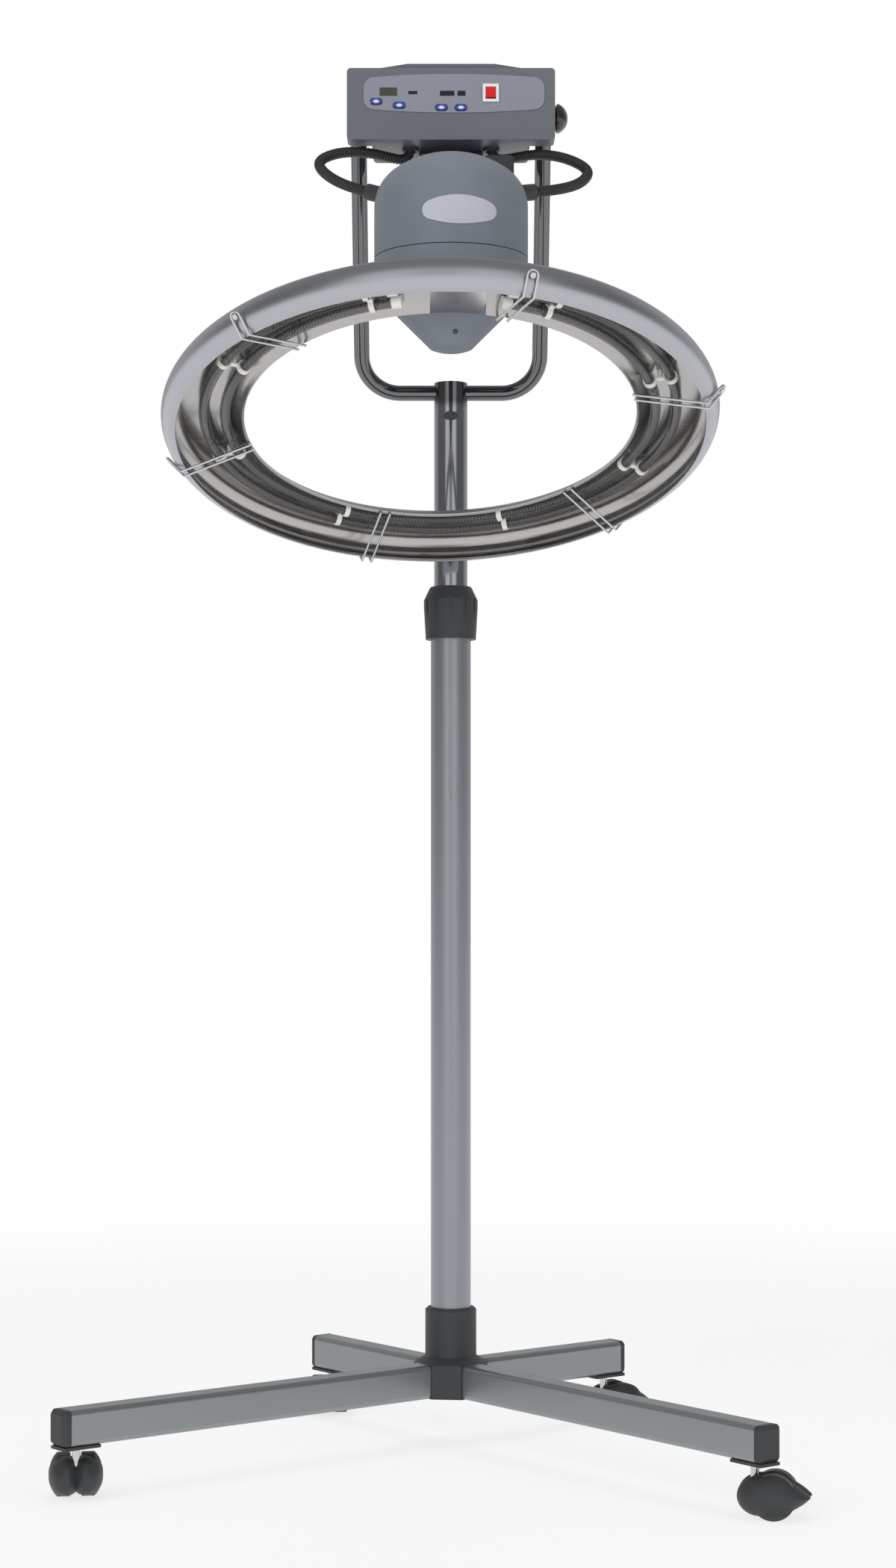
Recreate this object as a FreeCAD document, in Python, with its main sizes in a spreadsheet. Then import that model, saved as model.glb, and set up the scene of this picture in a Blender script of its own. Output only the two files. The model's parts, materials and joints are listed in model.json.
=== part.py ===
import FreeCAD, Part
import Sketcher
import os
import re
from math import acos, cos, degrees, radians, sin, tan
from FreeCAD import Vector

# Hair colour processor: a castor base, a telescopic mast, a fork that carries a tilting
# control box with a gear-motor head, and an infrared ring that orbits under that head.
# Millimetres and degrees. +Z is up, the control panel faces -Y, and the origin lies on
# the floor under the mast's axis.

SIZES = {
    # castor base: four rectangular tubes plugged into a moulded hub
    "base_turn": -6.8,          # the cross is turned this far about the mast
    "leg_bottom": 52.0,
    "leg_width": 28.0,
    "leg_depth": 35.0,
    "leg_wall": 1.5,
    "leg_corner": 5.0,
    "leg_front_reach": 475.5,   # mast axis to the tip of the end cap
    "leg_back_reach": 235.0,
    "cap_length": 9.0,
    "cap_chamfer": 4.0,
    "plug_length": 42.0,        # part of the end cap inside the tube
    "plug_clearance": 0.1,
    "hub_half": 37.0,           # mast axis to the face that a leg butts on
    "hub_spigot": 40.0,
    "hub_shoulder": 6.0,        # height of the slope between hub and socket
    "socket_radius": 26.8,
    "socket_top": 143.5,
    "socket_chamfer": 2.5,
    # castors
    "stem_inset": 22.0,         # castor stem back from the tip of the leg
    "stem_radius": 4.0,
    "stem_clearance": 0.05,
    "bush_radius": 7.0,
    "bush_flange": 3.0,
    "bush_flange_length": 40.0,
    "bush_flange_width": 25.0,
    "stem_top": 76.0,
    "wheel_radius": 21.0,
    "wheel_width": 19.5,
    "wheel_spacing": 10.0,      # clear width between the two wheels
    "wheel_dome": 7.0,
    "castor_trail": 18.0,
    "axle_radius": 3.0,
    "axle_clearance": 0.06,
    "hood_gap": 2.1,            # radial gap between wheel and hood
    "hood_wall": 2.4,
    "hood_beak": 38.0,          # axle to the tip of the hood's beak
    "hood_neck_radius": 8.5,
    "running_gap": 0.3,
    # mast
    "outer_radius": 21.0,
    "tube_wall": 1.5,
    "outer_foot": 60.0,
    "outer_top": 878.0,
    "inner_radius": 17.5,
    "inner_foot": 470.0,
    "inner_top": 1083.0,
    "bush_length": 40.0,
    "slide_clearance": 0.1,
    "top_bush_length": 45.0,
    "collar_foot": 844.0,
    "collar_top": 899.0,
    "collar_radius": 28.4,
    "collar_foot_radius": 26.6,
    "collar_top_radius": 21.4,
    "flute_half": 2.2,
    "flute_depth": 0.9,
    "button_length": 14.0,
    "button_height": 8.0,
    "button_proud": 2.2,
    "button_below": 5.5,        # button centre below the mast's joint line
    # fork
    "socket_length": 31.0,      # fork stem above the upper tube
    "fork_spigot": 45.0,        # and below its top, inside it
    "fork_bar_z": 1104.0,
    "fork_tube_radius": 8.0,
    "fork_tube_wall": 1.5,
    "fork_half": 93.3,
    "fork_bend": 40.0,
    "fork_lean": 27.86,
    "fork_pivot": 286.57,        # bar axis to the tilt pivot, along the arm
    "fork_beyond": 12.0,
    "pivot_radius": 5.0,
    "pivot_clearance": 0.05,
    # control box, measured from the tilt pivot: y to the back, z up
    "box_half": 103.6,
    "box_front": -41.0,
    "box_lip": 25.0,            # depth of the fascia's edges
    "box_low": -32.0,
    "box_high": 39.4,
    "box_wall": 2.5,
    "box_corner": 4.0,
    "boss_proud": 5.7,          # pivot bosses stand this far out of the rear shell
    "rear_back": 49.0,
    "arch_rise": 11.6,          # crest over the box, and the height of the arch's ends
    "arch_foot": 7.2,
    "arch_half": 71.5,
    "arch_flat": 44.0,
    "seat_gap": 0.15,           # between moulded pieces that are screwed together
    "panel_thick": 1.0,
    "panel_left": -87.0,
    "panel_right": 93.0,
    "panel_low": -5.4,
    "panel_high": 33.2,
    "panel_arch": 3.0,
    "panel_end": 11.0,
    "key_length": 12.0,
    "key_height": 6.4,
    "key_proud": 1.6,
    "key_gap": 0.35,
    "rocker_left": 31.4,
    "rocker_right": 47.8,
    "rocker_low": 5.0,
    "rocker_high": 23.2,
    "rocker_frame": 3.0,
    "bezel_depth": 12.0,
    "rocker_tip": 8.0,          # the rocker rests tipped to this side of square
    "rocker_crest": 3.6,        # its profile about its axis: ends, middle, foot and taper
    "rocker_dip": 2.2,
    "rocker_foot": 3.2,
    "rocker_taper": 1.6,
    "rocker_depth": 0.6,        # axis behind the fascia's face
    "bezel_proud": 1.5,
    "bezel_floor": 2.0,
    "board_gap": 2.0,
    "board_thick": 1.6,
    "screw_inset": 10.0,
    "knob_radius": 14.5,
    "knob_depth": 16.0,
    "knob_step": 3.0,           # waist and root of the knob's head
    "boss_radius": 13.0,
    "screw_radius": 3.0,
    "inlet_width": 48.0,
    "inlet_height": 28.0,
    "inlet_proud": 2.0,
    "inlet_rim": 4.0,
    "inlet_depth": 22.0,
    "inlet_mouth_half": 13.0,
    "inlet_mouth_rise": 9.0,
    "pin_pitch": 7.0,
    "pin_rise": 3.0,
    "pin_wide": 2.0,
    "pin_high": 4.0,
    # motor head, measured from the tilt pivot
    "orbit_reach": 166.0,       # pivot to the orbit axis, forwards
    "head_radius": 73.0,
    "head_wall": 2.5,
    "dome_corner": 42.0,
    "dome_turn": 55.0,
    "dome_foot": -180.5,        # seam between the fixed dome and the rotor
    "dome_shoulder": -132.0,
    "rotor_gap": 0.8,
    "cone_top": -212.0,
    "cone_foot": -265.5,
    "cone_foot_radius": 20.0,
    "cone_nose": 4.0,
    "spigot_radius": 8.0,
    "spigot_clearance": 0.06,
    "motor_radius": 32.0,
    "motor_height": 62.0,
    "motor_rise": 5.0,          # motor plate above the seam
    "web_drop": 14.0,           # rotor's web below its top edge
    "web_thick": 4.0,
    "spigot_reach": 35.0,
    "arm_width": 64.0,
    "arm_front": 5.0,           # where the arm leaves the box's underside
    "arm_back": 30.0,
    "arm_crest": 56.0,          # where the arm's top meets the dome, back from the orbit axis
    "arm_toe": 45.0,            # its front foot, inside the dome
    "arm_heel": 92.0,           # and its back foot
    "arm_drop": 12.0,           # foot of the arm below the dome's shoulder
    "arm_depth": 22.0,
    "bracket_reach": 30.0,
    "bracket_front": -72.0,
    "bracket_back": -44.0,
    "bracket_low": -87.0,
    "bracket_high": -55.0,
    "bracket_corner": 4.0,
    "badge_x": 7.6,
    "badge_z": -150.0,
    "badge_half": 34.5,
    "badge_half_height": 13.5,
    "badge_end": 9.0,
    "badge_thick": 0.8,
    "conduit_radius": 5.2,
    "gland_flange": 3.2,        # radial growth of the glands' pieces over the conduit
    "gland_sleeve": 2.8,
    "gland_nut": 2.6,
    "gland_nut_length": 20.0,
    "gland_depth": 7.0,
    # ring, measured in its own tilted frame: h along its axis
    "ring_drop": 335.6,         # pivot to the ring's centre, downwards
    "ring_tilt": 20.6,
    "ring_yaw": 3.2,            # the ring's high point rests turned this far to the right
    "ring_shift": -10.0,        # the ring hangs this far to the side of the orbit axis
    "neck_yaw": 2.0,
    "ring_outer": 264.2,
    "ring_outer_bend": 17.5,
    "ring_inner": 186.0,
    "ring_inner_bend": 37.0,
    "ring_top": 18.0,
    "ring_inner_turn": 53.5,
    "ring_lip_turn": 77.0,
    "ring_wall": 1.5,
    "liner_gap": 0.4,
    "liner_wall": 0.8,
    "lamp_inner": 204.0,
    "lamp_outer": 224.0,
    "lamp_radius": 5.0,
    "lamp_height": 6.0,
    "lamp_gap": 15.0,           # half of the gap in the lamps, at the neck
    "lamp_cap": 9.0,
    "clip_top": 15.0,
    "clip_width": 5.0,
    "clip_wall": 1.4,
    "clip_clearance": 0.15,
    "guard_wire": 1.2,
    "guard_half": 4.8,
    "guard_screw": 2.6,
    "guard_below": 2.6,         # wire's middle below the rims, and past the outer one
    "guard_reach": 4.1,
    "neck_root_width": 50.0,
    "neck_end_width": 64.0,
    "neck_end": 222.0,
    "neck_low": -237.0,
    "neck_thick": 12.0,
    "neck_slope": 4.1,          # fall from the rotor towards the ring
}

# Panel keys: centre x and z on the panel, from the tilt pivot.
KEYS = {
    "power": (-74.5, 5.6),
    "mode": (-51.5, 1.8),
    "minus": (-9.5, -0.4),
    "plus": (9.9, -0.4),
}
# Display windows: low and high x, low and high z, from the tilt pivot.
WINDOWS = {
    "timer": (-71.1, -53.5, 11.2, 19.6),
    "status": (-42.5, -33.5, 12.8, 16.2),
    "tens": (-11.0, 3.5, 11.2, 16.4),
    "units": (6.5, 14.5, 11.2, 16.4),
}
CASTOR_HEADING = {"front_left": 98.0, "front_right": -12.0, "back_right": 25.0, "back_left": 100.0}
LEG_QUARTER = {"back_right": 0, "back_left": 1, "front_left": 2, "front_right": 3}
CLIP_ANGLES = [25.0 + 45.0 * step for step in range(8)]
GUARD_ANGLES = [14.5 + 60.0 * step for step in range(6)]

# Conduits, from the box's underside to the motor head, from the tilt pivot.
CONDUIT_ROUTES = {
    "left": [
        (-40.5, -6.0, -24.0), (-40.5, -6.0, -38.0), (-48.0, -9.0, -44.5), (-61.0, -14.0, -43.0),
        (-83.0, -23.0, -40.2), (-107.8, -38.0, -43.6), (-126.4, -62.0, -55.8), (-130.2, -92.0, -71.4),
        (-118.2, -122.0, -90.6), (-96.4, -143.0, -106.0), (-79.5, -152.0, -112.3),
    ],
    "right": [
        (40.5, -6.0, -24.0), (40.5, -6.0, -38.0), (48.0, -9.0, -44.5), (62.4, -14.0, -43.5),
        (84.7, -23.0, -41.8), (109.1, -38.0, -48.2), (129.1, -62.0, -62.9), (135.4, -92.0, -79.3),
        (124.2, -122.0, -97.5), (100.9, -143.0, -108.5), (79.5, -152.9, -112.8),
    ],
}

doc = FreeCAD.newDocument("hair_processor")
sheet = doc.addObject("Spreadsheet::Sheet", "Sizes")
for row, (alias, value) in enumerate(SIZES.items(), start=1):
    sheet.set("A%d" % row, alias)
    sheet.set("B%d" % row, str(value))
    sheet.setAlias("B%d" % row, alias)
doc.recompute()

ALIAS = re.compile(r"\b(" + "|".join(SIZES) + r")\b")
parts = []


def bound(text):
    """The expression with every size spelled as a cell of the sheet."""
    return ALIAS.sub(r"Sizes.\1", str(text))


def size(text):
    """The expression's value in millimetres or degrees."""
    return float(sheet.evalExpression(str(text)))


def bind(thing, **properties):
    """Bind properties of an object to expressions."""
    for name, text in properties.items():
        thing.setExpression(name, bound(text))
    return thing


def at(x=0, y=0, z=0, turn=0, axis="0; 0; 1"):
    """A placement as an expression: a turn about an axis, then a shift."""
    return "placement(vector(%s; %s; %s); rotation(vector(%s); %s))" % (x, y, z, axis, turn)


def seat(thing, *frames):
    """Place an object by a chain of frames, outermost first."""
    thing.setExpression("Placement", bound(" * ".join(frames)))
    return thing


def block(name, xs, ys, zs):
    """A box between two bounds along each axis."""
    box = bind(doc.addObject("Part::Box", name), Length="%s - (%s)" % (xs[1], xs[0]),
               Width="%s - (%s)" % (ys[1], ys[0]), Height="%s - (%s)" % (zs[1], zs[0]))
    return seat(box, at(xs[0], ys[0], zs[0]))


ALONG = {"z": ("0; 0; 1", 0), "x": ("0; 1; 0", 90), "y": ("1; 0; 0", -90)}


def rod(name, radius, low, high, centre=(0, 0), along="z"):
    """A cylinder between two stations of an axis; centre is in the other two coordinates."""
    bar = bind(doc.addObject("Part::Cylinder", name), Radius=radius, Height="%s - (%s)" % (high, low))
    axis, turn = ALONG[along]
    first, second = centre
    spot = {"z": (first, second, low), "x": (low, first, second), "y": (first, low, second)}[along]
    return seat(bar, at(*spot, turn=turn, axis=axis))


def cone(name, low_radius, high_radius, low, high):
    """A cone frustum about the Z axis."""
    frustum = bind(doc.addObject("Part::Cone", name), Radius1=low_radius, Radius2=high_radius,
                   Height="%s - (%s)" % (high, low))
    return seat(frustum, at(z=low))


def bend(name, ring_radius, tube_radius, sweep, *frames):
    """Part of a torus: it starts on its own +X axis and turns about its own Z axis."""
    torus = bind(doc.addObject("Part::Torus", name), Radius1=ring_radius, Radius2=tube_radius,
                 Angle3=sweep)
    return seat(torus, *frames)


def fuse(name, *shapes):
    joined = doc.addObject("Part::MultiFuse", name)
    joined.Shapes = list(shapes)
    return joined


def cut(name, base, *tools):
    removed = doc.addObject("Part::Cut", name)
    removed.Base = base
    removed.Tool = tools[0] if len(tools) == 1 else fuse(name + "_tools", *tools)
    return removed


def group(name, *shapes):
    """Separate solids that share one node."""
    gathered = doc.addObject("Part::Compound", name)
    gathered.Links = list(shapes)
    return gathered


def node(thing, label, *frames):
    """Name a finished sub-part and place it."""
    thing.Label = label
    if frames:
        seat(thing, *frames)
    parts.append(thing)
    return thing


def tube(name, outer, inner, low, high):
    """A round tube about the Z axis."""
    return cut(name, rod(name + "_outside", outer, low, high), rod(name + "_inside", inner, low, high))


def outline(body, name, plane, points, level=0):
    """A closed sketch through points. Each is (x, y) and may hold the radius of an arc that
    leads to the next point: positive for an arc that turns left, negative for one that turns
    right. Every coordinate and radius is a driving constraint bound to the sheet."""
    sketch = body.newObject("Sketcher::SketchObject", name)
    base = [item for item in body.Origin.OriginFeatures if item.Role == plane][0]
    sketch.AttachmentSupport = [(base, "")]
    sketch.MapMode = "FlatFace"
    sketch.setExpression("AttachmentOffset.Base.z", bound(level))
    places = [Vector(size(point[0]), size(point[1]), 0) for point in points]
    ends = []
    for index, point in enumerate(points):
        start, stop = places[index], places[(index + 1) % len(points)]
        if len(point) == 2:
            ends.append((sketch.addGeometry(Part.LineSegment(start, stop), False), 1, 2))
            continue
        radius = size(point[2])
        half = (stop - start).Length / 2
        side = Vector(start.y - stop.y, stop.x - start.x, 0).normalize()
        sag = max(radius * radius - half * half, 0) ** 0.5
        middle = (start + stop) / 2 + side * (sag if radius > 0 else -sag)
        first, last = (start, stop) if radius > 0 else (stop, start)
        circle = Part.Circle(middle, Vector(0, 0, 1), abs(radius))
        arc = Part.ArcOfCircle(circle, circle.parameter(first), circle.parameter(last))
        number = sketch.addGeometry(arc, False)
        ends.append((number, 1, 2) if radius > 0 else (number, 2, 1))
    rules = []
    for index, (number, _, tail) in enumerate(ends):
        follower, head, _ = ends[(index + 1) % len(ends)]
        rules.append((Sketcher.Constraint("Coincident", number, tail, follower, head), None))
    for index, (number, head, _) in enumerate(ends):
        for kind, text, value, line in (("DistanceX", points[index][0], places[index].x, -2),
                                        ("DistanceY", points[index][1], places[index].y, -1)):
            if str(text) == "0":
                rules.append((Sketcher.Constraint("PointOnObject", number, head, line), None))
            else:
                rules.append((Sketcher.Constraint(kind, -1, 1, number, head, value), text))
        if len(points[index]) == 3:
            text = points[index][2].lstrip("-") if isinstance(points[index][2], str) else points[index][2]
            rules.append((Sketcher.Constraint("Radius", number, abs(size(points[index][2]))), text))
    sketch.addConstraint([rule for rule, _ in rules])
    for index, (_, text) in enumerate(rules):
        if text is not None:
            sketch.renameConstraint(index, "size_%d" % index)
            sketch.setExpression("Constraints.size_%d" % index, bound(text))
    return sketch


def new_body(name):
    return doc.addObject("PartDesign::Body", name)


def pad(body, name, plane, points, length, level=0, reverse=False):
    """Add a straight prism of an outline."""
    feature = body.newObject("PartDesign::Pad", name)
    feature.Profile = outline(body, name + "_outline", plane, points, level)
    feature.Reversed = reverse
    bind(feature, Length=length)
    body.Tip = feature
    return feature


def pocket(body, name, plane, points, length, level=0, reverse=False):
    """Cut a straight prism of an outline."""
    feature = body.newObject("PartDesign::Pocket", name)
    feature.Profile = outline(body, name + "_outline", plane, points, level)
    feature.Reversed = reverse
    bind(feature, Length=length)
    body.Tip = feature
    return feature


def turned(name, points):
    """A body of revolution about Z, from an outline in radius and height."""
    body = new_body(name)
    sketch = outline(body, name + "_outline", "XZ_Plane", points)
    feature = body.newObject("PartDesign::Revolution", name + "_turn")
    feature.Profile = sketch
    feature.ReferenceAxis = (sketch, ["V_Axis"])
    feature.Angle = 360
    body.Tip = feature
    return body


def rounded(x0, x1, y0, y1, radius):
    """An outline of a rectangle with round corners, anticlockwise."""
    left, right = "%s + %s" % (x0, radius), "%s - %s" % (x1, radius)
    low, high = "%s + %s" % (y0, radius), "%s - %s" % (y1, radius)
    return [(left, y0), (right, y0, radius), (x1, low), (x1, high, radius),
            (right, y1), (left, y1, radius), (x0, high), (x0, low, radius)]


# ---- castor base ----

SOCKET_Z = "(leg_bottom + leg_depth + hub_shoulder)"
INNER_BEND = "(leg_corner - leg_wall)"


def tube_section(inset):
    """Outline of the leg tube's section in Y and Z, drawn in by an inset."""
    return rounded("-(leg_width / 2 - %s)" % inset, "(leg_width / 2 - %s)" % inset,
                   "(leg_bottom + %s)" % inset, "(leg_bottom + leg_depth - %s)" % inset,
                   "(leg_corner - %s)" % inset)


def hub():
    """Moulded hub: octagonal block with four spigots, and a socket for the mast."""
    body = new_body("base_hub_body")
    corner = "(hub_half * %.6f)" % tan(radians(22.5))
    ring = [("hub_half", "-" + corner), ("hub_half", corner), (corner, "hub_half"), ("-" + corner, "hub_half"),
            ("-hub_half", corner), ("-hub_half", "-" + corner), ("-" + corner, "-hub_half"),
            (corner, "-hub_half")]
    pad(body, "hub_block", "XY_Plane", ring, "leg_depth", level="leg_bottom")
    shoulder = cone("hub_slope", "hub_half", "socket_radius", "(leg_bottom + leg_depth)", SOCKET_Z)
    socket = rod("hub_socket", "socket_radius", "leg_bottom", "(socket_top - socket_chamfer)")
    rim = cone("hub_rim", "socket_radius", "(socket_radius - socket_chamfer)",
               "(socket_top - socket_chamfer)", "socket_top")
    bars = []
    for index in range(4):
        spigot = block("hub_spigot_%d" % index, ("0", "(hub_half + hub_spigot)"),
                       ("-(leg_width / 2 - leg_wall - plug_clearance - leg_corner * 0.6)",
                        "(leg_width / 2 - leg_wall - plug_clearance - leg_corner * 0.6)"),
                       ("(leg_bottom + leg_wall + plug_clearance)",
                        "(leg_bottom + leg_depth - leg_wall - plug_clearance)"))
        turn = doc.addObject("Part::Compound", "hub_bar_%d" % index)
        turn.Links = [spigot]
        bars.append(seat(turn, at(turn=90 * index)))
    solid = fuse("hub_solid", body, shoulder, socket, rim, *bars)
    bore = rod("hub_bore", "(outer_radius + plug_clearance)", "outer_foot", "(socket_top + 1)")
    node(cut("base_hub_solid", solid, bore), "base_hub", at(turn="(base_turn + 45)"))


def leg(name, reach, quarter):
    """Rectangular tube leg, open at both ends, with a hole under it for the castor bush."""
    body = new_body(name)
    pad(body, name + "_tube", "YZ_Plane", tube_section("0"), "(%s - cap_length - hub_half)" % reach,
        level="hub_half")
    pocket(body, name + "_hollow", "YZ_Plane", tube_section("leg_wall"), reach,
           level="hub_half", reverse=True)
    hole = rod(name + "_hole", "(bush_radius + plug_clearance)", "(leg_bottom - 1)",
               "(leg_bottom + leg_wall + 1)", centre=("(%s - stem_inset)" % reach, 0))
    node(cut(name + "_drilled", body, hole), "leg_" + name.removeprefix("tube_"),
         at(turn="(base_turn + %s)" % (45 + 90 * quarter)))


def end_cap(name, reach, quarter):
    """Moulded cap over the end of a leg, with a plug inside the tube that holds the bush."""
    body = new_body(name)
    cap = pad(body, name + "_cap", "YZ_Plane", tube_section("0"), "cap_length", level="(%s - cap_length)" % reach)
    doc.recompute()
    tip = size(reach) - 0.01
    edges = ["Edge%d" % (number + 1) for number, edge in enumerate(cap.Shape.Edges) if edge.BoundBox.XMin > tip]
    nose = body.newObject("PartDesign::Chamfer", name + "_nose")
    nose.Base = (cap, edges)
    bind(nose, Size="cap_chamfer")
    body.Tip = nose
    plug = block(name + "_plug", ("(%s - cap_length - plug_length)" % reach, "(%s - cap_length)" % reach),
                 ("-(leg_width / 2 - leg_wall - plug_clearance - leg_corner * 0.6)",
                  "(leg_width / 2 - leg_wall - plug_clearance - leg_corner * 0.6)"),
                 ("(leg_bottom + leg_wall + plug_clearance)",
                  "(leg_bottom + leg_depth - leg_wall - plug_clearance)"))
    bore = rod(name + "_bore", "(bush_radius + plug_clearance)", "leg_bottom", "stem_top + 2",
               centre=("(%s - stem_inset)" % reach, 0))
    solid = cut(name + "_bored", fuse(name + "_solid", body, plug), bore)
    return seat(solid, at(turn="(base_turn + %s)" % (45 + 90 * quarter)))


def bush(name, reach, quarter):
    """Nylon bush under a leg, with a long flange, that the castor stem turns in."""
    sleeve = rod(name + "_sleeve", "bush_radius", "(leg_bottom - bush_flange)", "stem_top",
                 centre=("(%s - stem_inset)" % reach, 0))
    flange = block(name + "_flange",
                   ("(%s - stem_inset - bush_flange_length / 2)" % reach,
                    "(%s - stem_inset + bush_flange_length / 2)" % reach),
                   ("-bush_flange_width / 2", "bush_flange_width / 2"),
                   ("(leg_bottom - bush_flange)", "leg_bottom"))
    bore = rod(name + "_bore", "(stem_radius + stem_clearance)", "(leg_bottom - bush_flange - 1)",
               "(stem_top + 1)", centre=("(%s - stem_inset)" % reach, 0))
    solid = cut(name + "_bored", fuse(name + "_solid", sleeve, flange), bore)
    return seat(solid, at(turn="(base_turn + %s)" % (45 + 90 * quarter)))


def base():
    hub()
    caps, bushes = [], []
    for corner, quarter in LEG_QUARTER.items():
        reach = "leg_front_reach" if corner.startswith("front") else "leg_back_reach"
        leg("tube_" + corner, reach, quarter)
        caps.append(end_cap("cap_" + corner, reach, quarter))
        bushes.append(bush("bush_" + corner, reach, quarter))
    node(group("end_caps", *caps), "leg_end_caps")
    node(group("bushes", *bushes), "castor_bushes")


# ---- castors, each in a frame whose Z axis is the castor's stem ----

HOOD_BEND = "(wheel_radius + hood_gap + hood_wall)"
HOOD_INSIDE = "(wheel_radius + hood_gap)"
BEAK_TURN = 50.0


def hood_outline(inside):
    """Side view of the hood: an arc about the axle that runs on into a pointed beak."""
    cosine, sine = "%.6f" % cos(radians(BEAK_TURN)), "%.6f" % sin(radians(BEAK_TURN))
    start = ("(castor_trail - %s)" % HOOD_BEND, "wheel_radius", "-" + HOOD_BEND)
    shoulder = ("(castor_trail + %s * %s)" % (HOOD_BEND, cosine), "(wheel_radius + %s * %s)" % (HOOD_BEND, sine))
    tip = ("(castor_trail + hood_beak)", "(wheel_radius - hood_wall)")
    if not inside:
        return [start, shoulder, tip, ("(castor_trail + wheel_radius)", "(wheel_radius / 2)"),
                ("(castor_trail - wheel_radius / 2)", "(wheel_radius / 2)")]
    return [start, shoulder, tip,
            ("(castor_trail + %s * %s)" % (HOOD_INSIDE, cosine),
             "(wheel_radius + %s * %s)" % (HOOD_INSIDE, sine), HOOD_INSIDE),
            ("(castor_trail - %s)" % HOOD_INSIDE, "wheel_radius")]


def castor(corner):
    """Swivelling twin-wheel castor: hood with its neck, steel pins, and two wheels."""
    quarter = LEG_QUARTER[corner]
    reach = "leg_front_reach" if corner.startswith("front") else "leg_back_reach"
    frame = (at(turn="(base_turn + %s)" % (45 + 90 * quarter)), at(x="(%s - stem_inset)" % reach),
             at(turn="(%s - base_turn - %s)" % (CASTOR_HEADING[corner], 45 + 90 * quarter)))
    web_half = "(wheel_spacing / 2 - running_gap)"
    top = "(leg_bottom - bush_flange - running_gap)"
    body = new_body("hood_" + corner)
    pad(body, "web_" + corner, "XZ_Plane", hood_outline(False), "(2 * %s)" % web_half,
        level="-%s" % web_half)
    pad(body, "canopy_" + corner, "XZ_Plane", hood_outline(True), "(2 * wheel_width + wheel_spacing)",
        level="-(wheel_width + wheel_spacing / 2)")
    neck = rod("neck_" + corner, "hood_neck_radius", "wheel_radius", top)
    room = [rod("room_%s_%s" % (corner, side), "(wheel_radius + hood_gap * 0.8)", low, high,
                centre=("castor_trail", "wheel_radius"), along="y")
            for side, low, high in (("near", "-(wheel_width + wheel_spacing)", "-%s" % web_half),
                                    ("far", web_half, "(wheel_width + wheel_spacing)"))]
    stem_hole = rod("stem_hole_" + corner, "stem_radius", "(wheel_radius + 2 * axle_radius)", "(%s + 1)" % top)
    axle_hole = rod("axle_hole_" + corner, "axle_radius", "-wheel_spacing", "wheel_spacing",
                    centre=("castor_trail", "wheel_radius"), along="y")
    hood = cut("castor_hood_solid_" + corner, fuse("hood_solid_" + corner, body, neck), *room,
               stem_hole, axle_hole)
    node(hood, "castor_hood_" + corner, *frame)
    axle_half = "(wheel_spacing / 2 + wheel_width - wheel_dome)"
    pins = group("castor_pins_group_" + corner,
                 rod("stem_" + corner, "stem_radius", "(wheel_radius + 2 * axle_radius)", "(stem_top - 1)"),
                 rod("axle_" + corner, "axle_radius", "-" + axle_half, axle_half,
                     centre=("castor_trail", "wheel_radius"), along="y"))
    node(pins, "castor_pins_" + corner, *frame)
    for side, turn in (("a", -90), ("b", 90)):
        bore = "(axle_radius + axle_clearance)"
        wheel = turned("wheel_%s_%s" % (side, corner), [
            (bore, 0), ("(wheel_radius - 1.5)", 0, "1.5"), ("wheel_radius", "1.5"),
            ("wheel_radius", "(wheel_width - wheel_dome)", "wheel_radius"),
            ("(wheel_radius * 0.4)", "wheel_width"), (0, "wheel_width"),
            (0, "(wheel_width - wheel_dome + running_gap)"),
            (bore, "(wheel_width - wheel_dome + running_gap)")])
        spot = at(x="castor_trail", y="%s(wheel_spacing / 2)" % ("" if turn < 0 else "-"), z="wheel_radius",
                  turn=turn, axis="1; 0; 0")
        node(wheel, "castor_wheel_%s_%s" % (side, corner), *frame, spot)


# ---- mast ----

SLIDE_RADIUS = "(outer_radius - tube_wall)"
BUTTON_Z = "(inner_top - button_below)"


def stadium(half_length, half_height):
    """Outline with straight top and bottom and round ends, centred on the origin."""
    flat = "(%s - %s)" % (half_length, half_height)
    return [("-" + flat, "-" + half_height), (flat, "-" + half_height, half_height), (half_length, 0, half_height),
            (flat, half_height), ("-" + flat, half_height, half_height), ("-" + half_length, 0, half_height)]


def mast():
    """Outer tube, its two bushes, and the collar that locks the height."""
    node(tube("mast_outer", "outer_radius", SLIDE_RADIUS, "outer_foot", "outer_top"), "mast_outer_tube")
    for name, low, high in (("mast_top_bush", "(outer_top - top_bush_length)", "outer_top"),
                            ("mast_guide_bush", "inner_foot", "(inner_foot + bush_length)")):
        node(tube(name + "_ring", "(outer_radius - tube_wall - slide_clearance)",
                  "(inner_radius + slide_clearance)", low, high), name)
    bore, counterbore = "(inner_radius + running_gap)", "(outer_radius + running_gap)"
    ceiling = "(outer_top + running_gap)"
    body = turned("collar", [
        (counterbore, "collar_foot"), ("collar_foot_radius", "collar_foot"),
        ("collar_foot_radius", "(collar_foot + 3)"), ("collar_radius", "(collar_top - 22)"),
        ("collar_radius", "(collar_top - 14)"), ("(collar_top_radius + 1)", "(collar_top - 1.5)"),
        ("collar_top_radius", "collar_top"), (bore, "collar_top"), (bore, ceiling), (counterbore, ceiling)])
    flute = pocket(body, "collar_flute", "XY_Plane",
                   [("(collar_radius - flute_depth)", "-flute_half"), ("(collar_radius + 1)", "-flute_half"),
                    ("(collar_radius + 1)", "flute_half"), ("(collar_radius - flute_depth)", "flute_half")],
                   "(collar_top - collar_foot)", level="collar_foot", reverse=True)
    flutes = body.newObject("PartDesign::PolarPattern", "collar_flutes")
    flutes.Originals = [flute]
    flutes.Axis = (flute.Profile[0], ["N_Axis"])
    flutes.Angle = 360
    flutes.Occurrences = 12
    body.Tip = flutes
    node(body, "mast_collar")


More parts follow.
